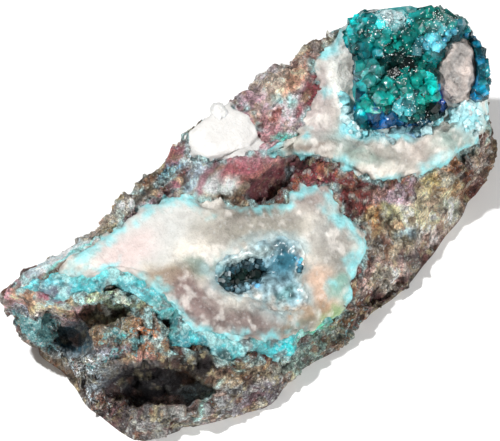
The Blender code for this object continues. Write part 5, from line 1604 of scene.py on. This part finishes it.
def crystal_colours(roots, zones, first, second, spread, crust=None):
    """Colours of all points: zones at each root, blue in a thin crust, a random lightness, painted shade at
    the foot.
    """
    n = len(roots)
    colours = mix(np.tile(linear(first), (n, 1)), linear(second), rng.uniform(0, 1, n))
    colours = paint(colours, zones, display(roots))
    if crust is not None:
        colours = mix(colours, linear("#0866a6"), 0.8 * crust)
    lightness = rng.uniform(1 - spread, 1 + spread, n)
    lightness = lightness * np.clip(1 + 0.7 * octaves(roots, 4.0, 161), 0.25, 1.9)
    colours = colours * lightness[:, None]
    # Painted shade and light: a crystal is painted dark at its foot, as the shade among its neighbours,
    # and lighter or darker at random above, as light finds its own way through each. Where it is pale, as
    # frosted crystals and the painted glare are, it is even in colour.
    foot, shoulder, tip = np.full((n, 6), 0.2), rng.uniform(0.3, 1.5, (n, 6)), rng.uniform(0.6, 2.0, (n, 1))
    depth = np.concatenate([foot, shoulder, tip], axis=1)
    paleness = np.clip(2 * colours.min(1), 0, 1)[:, None]
    depth = depth * (1 - paleness) + paleness
    return np.clip(colours[:, None] * depth[..., None], 0, 1).reshape(-1, 3)


# %% Colour and store the crystals
# Glassy and deep, two fifths of the light going through: sharp glints on faces that growth rippled.
dioptase = make_crystal(
    "dioptase_crystal_grown", roughness=0.06, transmission=0.4, ior=DIOPTASE_IOR, ripple=0.55, sparkle=True
)
colours = crystal_colours(roots, DIOPTASE_ZONES, "#0a9a88", "#046a68", 0.5, thin_crust(roots))
glint = amounts(0.0, GLINTS, display(points))
dioptase_crystals = store(
    "dioptase_crystals", points, faces, dioptase, "dioptase", smooth=False, ground=colours, glint=glint
)
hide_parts("dioptase_cluster")

# %% The mounds under the crystals
cores = [ball(shape, seat(*shape[:2]), 24, 36, 0.3, 141) for shape in MOUNDS]
starts = np.cumsum([0] + [len(core[0]) for core in cores])
core_points = np.concatenate([core[0] for core in cores])
# A mound is pressed down where the knob stands and where it would show past the cluster's outline.
past_outline = smooth((0.5 - inside(CLUSTER_OUTLINE, display(core_points))) / 0.8)
sinking = np.maximum(4.0 * smooth((0.99 - over_knob(core_points)) / 0.15), 2.0 * past_outline)
core_points = core_points - TO_VIEWER * sinking[:, None]
core_faces = np.concatenate([core[1] + start for core, start in zip(cores, starts)])
core_caps = np.concatenate([core[2] + start for core, start in zip(cores, starts)])
# Painted shade: the mounds take about a third of the zones' colours, as the shade in the gaps between the
# crystals.
core_colours = np.tile(linear("#0b5a4e"), (len(core_points), 1))
core_colours = 0.35 * paint(core_colours, DIOPTASE_ZONES, display(core_points))
# Solid, and painted dark as shade, so that the gaps between the crystals look deep.
mass = make_crystal("dioptase_mass_grown", roughness=0.15, transmission=0.0, ior=DIOPTASE_IOR, ripple=0.8)
store("dioptase_mass", core_points, (core_faces, core_caps), mass, "dioptase", ground=core_colours)

# %% [markdown]
# ## The pocket
#
# A small pocket in the calcite is lined with blue-grey druse, a skin of crystals too fine to count.
# Crystals so dark that they look black green fill its left half, and a few blue ones stand to the
# right. The lining is cut out of the grid like the minerals, and the crystals are placed one by one.

# %% Line the pocket
POCKET_ZONES = (
    ("black green left", -1.2, -11.3, 5.2, 1.7, 15, 0.35, "#0a201c", 1.0),
    ("blue slope", 6.8, -7.6, 3.6, 4.4, -8, 0.6, "#2e5b6a", 1.0),
    ("pale foot", 2.4, -14.4, 5.6, 1.7, 6, 0.6, "#90acb4", 0.9),
    ("cyan lip", -1.0, -7.2, 6.0, 1.1, 14, 0.6, "#98abaa", 0.9),
    ("pale left", -6.2, -10.6, 1.6, 2.6, 0, 0.6, "#5b8187", 0.9),
    ("blue spot", 9.8, -8.3, 0.8, 1.0, 0, 0.5, "#64badf", 0.9),
    ("low blue spot", -4.8, -15.4, 0.8, 1.0, 0, 0.5, "#033b8f", 0.9),
    ("middle blue spot", 1.0, -13.5, 1.0, 0.7, 0, 0.5, "#4a94bd", 0.8),
    ("pale green crust", 6.6, -15.6, 3.2, 1.6, 45, 0.5, "#5d8486", 0.9),
)
pocket_colour = np.tile(linear("#8fb0ba"), (len(base), 1))
pocket_colour = paint(pocket_colour, POCKET_ZONES, rough_places)
pocket_colour = pocket_colour * np.clip(1 + 0.6 * octaves(base, 1.6, 154), 0.4, 1.7)[:, None]
pocket_rim = 1 - smooth(in_pocket / 2.4 + 0.4 * octaves(base, 1.8, 156))
pocket_rim = pocket_rim * smooth(0.8 + octaves(base, 2.6, 157))
pocket_colour = np.clip(mix(pocket_colour, calcite_colour, pocket_rim), 0, 1)
druse_relief = 0.5 * octaves(base, 2.2, 151) + 0.2 * chips(base, 1.4, 152)
blue_slope = 0.9 * zone_share(6.4, -9.9, 4.6, 5.4, -8, 0.5, spots)  # the slope on the right lies higher
lining_level = contact(in_pocket) + druse_relief * smooth(in_pocket / 1.2)
lining_level = lining_level + blue_slope * smooth(in_pocket / 1.5)
# Satin: each face of the druse is too small to mirror anything, so its glints run together.
druse = make_crystal("dioptase_druse_grown", roughness=0.22, transmission=0.1, ior=DIOPTASE_IOR)
points, faces, ids = cut_body(in_pocket > -UNDER_ROCK, lining_level, 1.2)
lining = store("pocket_lining", points, (faces,), druse, "pocket_dioptase", ground=pocket_colour[ids])
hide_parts("pocket_crystals")

# %% Place the pocket's crystals
POCKET_SPREAD = (2.2, -10.3, 8.4, 4.8, 14)  # right, up, half sizes and turn of the ellipse they lie in
POCKET_TRIES = 260  # places tried in it, of which those in the dark half and blue corner are used
DARK_HALF = (-1.4, -10.9)
BLUE_CORNER = (9.4, -9.0)
right, up, wide, high, turn = POCKET_SPREAD
ring = np.sqrt((np.arange(POCKET_TRIES) + 0.5) / POCKET_TRIES)
angle = np.arange(POCKET_TRIES) * GOLDEN_ANGLE
along, across = wide * ring * np.cos(angle), high * ring * np.sin(angle)
c, s = math.cos(math.radians(turn)), math.sin(math.radians(turn))
places = np.column_stack([right + along * c - across * s, up + along * s + across * c])
places = places[inside(POCKET_OUTLINE, places) > 0.3]
chosen = zone_share(*DARK_HALF, 5.4, 2.6, 14, 0.4, places) > rng.uniform(0.0, 0.9, len(places)) ** 2
chosen = chosen | (np.hypot(*(places - BLUE_CORNER).T) < 1.6)
places = places[chosen]
feet = np.array([seat(*place) for place in places])
count = len(feet)
dark = zone_share(*DARK_HALF, 4.6, 2.2, 14, 0.4, places)
small = rng.uniform(0.4, 0.65, count) + dark * rng.uniform(0.2, 0.6, count)
leaning = TO_VIEWER + rng.normal(0, 0.45, (count, 3))
spins, lengths = rng.uniform(0, 1, count), small * rng.uniform(1.8, 2.8, count)
points, faces = crystals(feet, leaning, spins, small, lengths)
colours = crystal_colours(feet, POCKET_ZONES, "#5d8797", "#3c6a7c", 0.3)
# Dull glass: the crystals are dark and etched, so they barely glint.
dull = make_crystal("dioptase_pocket_crystal_grown", roughness=0.35, transmission=0.3, ior=DIOPTASE_IOR)
store("pocket_crystals_small", points, faces, dull, "pocket_dioptase", smooth=False, ground=colours)
print(count, "crystals in the pocket")

# %% [markdown]
# ## Clear crystals along the dioptase
#
# Where the dioptase meets the calcite, small clear crystals stand in a cyan crust. They are blocky,
# most of them about a millimetre across, and are scattered at random along that border.

# %% Clear crystals
CLEAR_COUNT = 130
CLEAR_IOR = 1.6
# Places along the lower edge of the cluster, from its left corner round to the right one.
BORDER = (
    (19.4, 27.0), (19.0, 23.5), (19.6, 20.4), (21.4, 18.6), (24.0, 17.4), (27.0, 17.0),
    (30.0, 17.4), (33.0, 18.4), (36.0, 19.6), (39.0, 20.6), (41.6, 21.6), (43.6, 22.6),
    (45.4, 23.6), (46.6, 21.0), (46.0, 18.6), (43.6, 18.8),
)
border = np.array(BORDER)
count = CLEAR_COUNT
where = rng.uniform(0, len(border) - 1, count)
places = np.column_stack([np.interp(where, range(len(border)), border[:, k]) for k in (0, 1)])
places = places + rng.normal(0, 0.6, places.shape)
feet = np.array([seat(*place) for place in places])
small = rng.choice([0.35, 0.55, 0.8, 1.15], count, p=[0.4, 0.3, 0.2, 0.1]) * rng.uniform(0.8, 1.2, count)
leaning = TO_VIEWER + 0.3 * unit(feet - np.array([20.0, 0, 20.0])) + rng.normal(0, 0.6, (count, 3))
spins, lengths = rng.uniform(0, 1, count), small * rng.uniform(1.4, 2.4, count)
points, faces = crystals(feet, leaning, spins, small, lengths, sink=0.4)
tints = mix(np.tile(linear("#9cecf4"), (count, 1)), linear("#eefafa"), rng.uniform(0, 1, count))
CLEAR_ZONES = (("shade under the cluster", 30.0, 17.6, 4.8, 1.6, 0, 0.5, "#5b929e", 0.85),)
tints = np.repeat(paint(tints, CLEAR_ZONES, places), CRYSTAL_POINTS, axis=0)
# Clear glass over a pale ground: bright, with small sharp glints.
clear = make_crystal("clear_crystal_grown", roughness=0.08, transmission=0.4, ior=CLEAR_IOR, ripple=0.4)
store("clear_crystals", points, faces, clear, "calcite", smooth=False, ground=tints)
